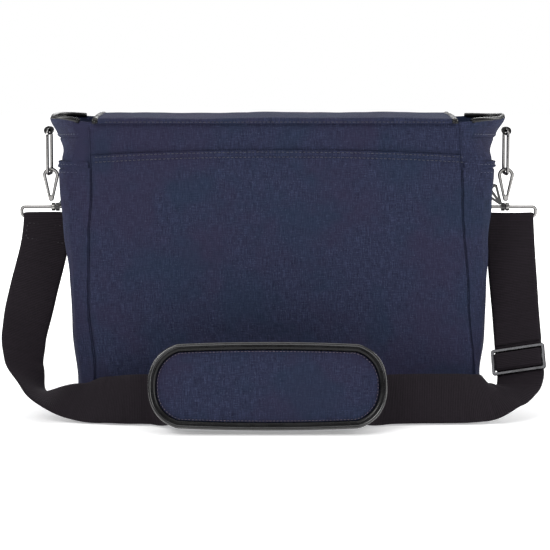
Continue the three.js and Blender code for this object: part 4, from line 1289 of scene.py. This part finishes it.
piece(pad, "shoulder_pad", "pad_cover", slot="fabric")

PAD_OUT = np.array(PAD_POSE)[:3, 2]


def band(name, inset, depth, half_wide, half_deep, material, sides=16):
    """A boxy rounded tape all round the pad's edge."""
    line = stadium(inset, 260)
    ahead = np.roll(line, -1, axis=0) - np.roll(line, 1, axis=0)
    ahead /= np.linalg.norm(ahead, axis=1)[:, None]
    side = np.stack([ahead[:, 1], -ahead[:, 0]], -1)
    turns = np.linspace(0, 2 * math.pi, sides, endpoint=False)
    c = np.sign(np.cos(turns)) * np.abs(np.cos(turns)) ** 0.62
    d = np.sign(np.sin(turns)) * np.abs(np.sin(turns)) ** 0.62
    points = np.zeros((260, sides, 3))
    points[..., :2] = line[:, None, :] + side[:, None, :] * (c * half_wide)[None, :, None]
    points[..., 2] = depth + d[None, :] * half_deep
    verts = on_pad(points.reshape(-1, 3) * MM)
    faces = []
    for k in range(260):
        n = (k + 1) % 260
        for q in range(sides):
            e = (q + 1) % sides
            faces.append((k * sides + q, k * sides + e, n * sides + e, n * sides + q))
    made = new_object(name, verts, faces, material, [(0.0, 0.0)] * len(verts))
    flip_if_inside_out(made)
    return made


piece(band("pad_tape", 4.6, -0.4, 4.0, 8.6, LEATHER), "shoulder_pad", "pad_binding", slot="leather")
bead = stadium(1.9, 300)
bead_points = np.concatenate([bead, np.full((300, 1), 7.6)], axis=1)
piece(tube("pad_piping", on_pad(bead_points * MM), 1.7 * MM, PIPING, 10, closed=True,
           up=np.tile(PAD_OUT, (300, 1))), "shoulder_pad", slot="leather")


def on_cover(outline):
    """Points of an outline dropped on the swollen cover."""
    points = []
    for x, y in outline:
        hit = PAD_SURFACE.ray_cast(Vector((x * MM, y * MM, 0.05)), Vector((0, 0, -1)))[0]
        points.append((x * MM, y * MM, hit.z if hit else 0.008))
    points.append(points[0])
    return on_pad(np.array(points))


seam = on_cover(stadium(9.4, 260))
piece(stitches("pad_stitches", [(seam, np.tile(PAD_OUT, (261, 1)))], THREAD_PALE, pitch=3.4 * MM,
               long=2.2 * MM, thick=0.24 * MM), "shoulder_pad", slot="fabric")

bx, by = np.meshgrid(np.linspace(-101, 101, 60), np.linspace(-28, 28, 24), indexing="ij")
bz = np.full_like(bx, -PAD_THICK / 2 - 1.5)
backing = surface(on_pad(np.stack([bx, by, bz - 1.6], -1).reshape(-1, 3) * MM).reshape(60, 24, 3),
                  on_pad(np.stack([bx, by, bz], -1).reshape(-1, 3) * MM).reshape(60, 24, 3),
                  "pad_backing_cloth", LINING)
piece(backing, "shoulder_pad", "pad_backing", slot="webbing")
for side in ("left", "right"):
    u = np.linspace(0, 2 * math.pi, 64, endpoint=False)
    hw, ht = keeper_half - 0.7, 2.9
    ring_pts = np.stack([0 * u, hw * np.sign(np.cos(u)) * np.abs(np.cos(u)) ** 0.35,
                         ht * np.sign(np.sin(u)) * np.abs(np.sin(u)) ** 0.6], -1)
    wide = np.linspace(-11, 11, 9)
    ring = ring_pts[None, :, :] + np.stack([wide, 0 * wide, 0 * wide], -1)[:, None, :]
    ring = ring + np.array([SIGN[side] * 60, -web_down, -web_back])
    shrink = ring.copy()
    centre_r = np.array([0, -web_down, -web_back])
    shrink[..., 1:] = centre_r[1:] + (ring[..., 1:] - centre_r[1:]) * np.array([0.965, 0.62])
    keeper = surface(on_pad(ring.reshape(-1, 3) * MM).reshape(ring.shape),
                     on_pad(shrink.reshape(-1, 3) * MM).reshape(ring.shape),
                     f"pad_keeper_cloth_{side}", WEBBING, loop=True)
    piece(keeper, "shoulder_pad", f"pad_keeper_{side}", slot="webbing")

# ---------------------------------------------------------------- hardware
LOOKS = {"ring_": NICKEL, "hook_": NICKEL, "swivel_": NICKEL, "strap_loop_": NICKEL,
         "adjuster_frame": GUNMETAL, "zip_slider": NICKEL, "zip_pull": NICKEL, "snap_": NICKEL,
         "tab_": LEATHER, "stroller_clip_": COATED}
for name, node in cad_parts.items():
    for start, look in LOOKS.items():
        if name.startswith(start):
            node.data.materials.clear()
            node.data.materials.append(look)
            node.data.polygons.foreach_set("use_smooth", [True] * len(node.data.polygons))
            weld = node.modifiers.new("weld", "WELD")
            weld.merge_threshold = 0.00002
            if start == "hook_":
                fuller = node.modifiers.new("fuller", "DISPLACE")
                fuller.mid_level = 0.0
                fuller.strength = 0.00035
            edge = node.modifiers.new("edge", "BEVEL")
            edge.width = 0.0002 if "gate" in name else 0.0005
            edge.segments = 3
            edge.limit_method = "ANGLE"
            edge.angle_limit = math.radians(32)
            edge.harden_normals = False
            calm = node.modifiers.new("calm", "WEIGHTED_NORMAL")
            calm.keep_sharp = False

# ------------------------------------------------------------------- stage
floor_mesh = bpy.data.meshes.new("floor")
floor_mesh.from_pydata([(-6, -6, 0), (6, -6, 0), (6, 6, 0), (-6, 6, 0)], [], [(0, 1, 2, 3)])
floor_mesh.materials.append(studio_floor())
floor = bpy.data.objects.new("floor", floor_mesh)
floor.location = (0, 0, -0.0004)
bpy.context.scene.collection.objects.link(floor)
floor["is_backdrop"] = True

low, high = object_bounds()
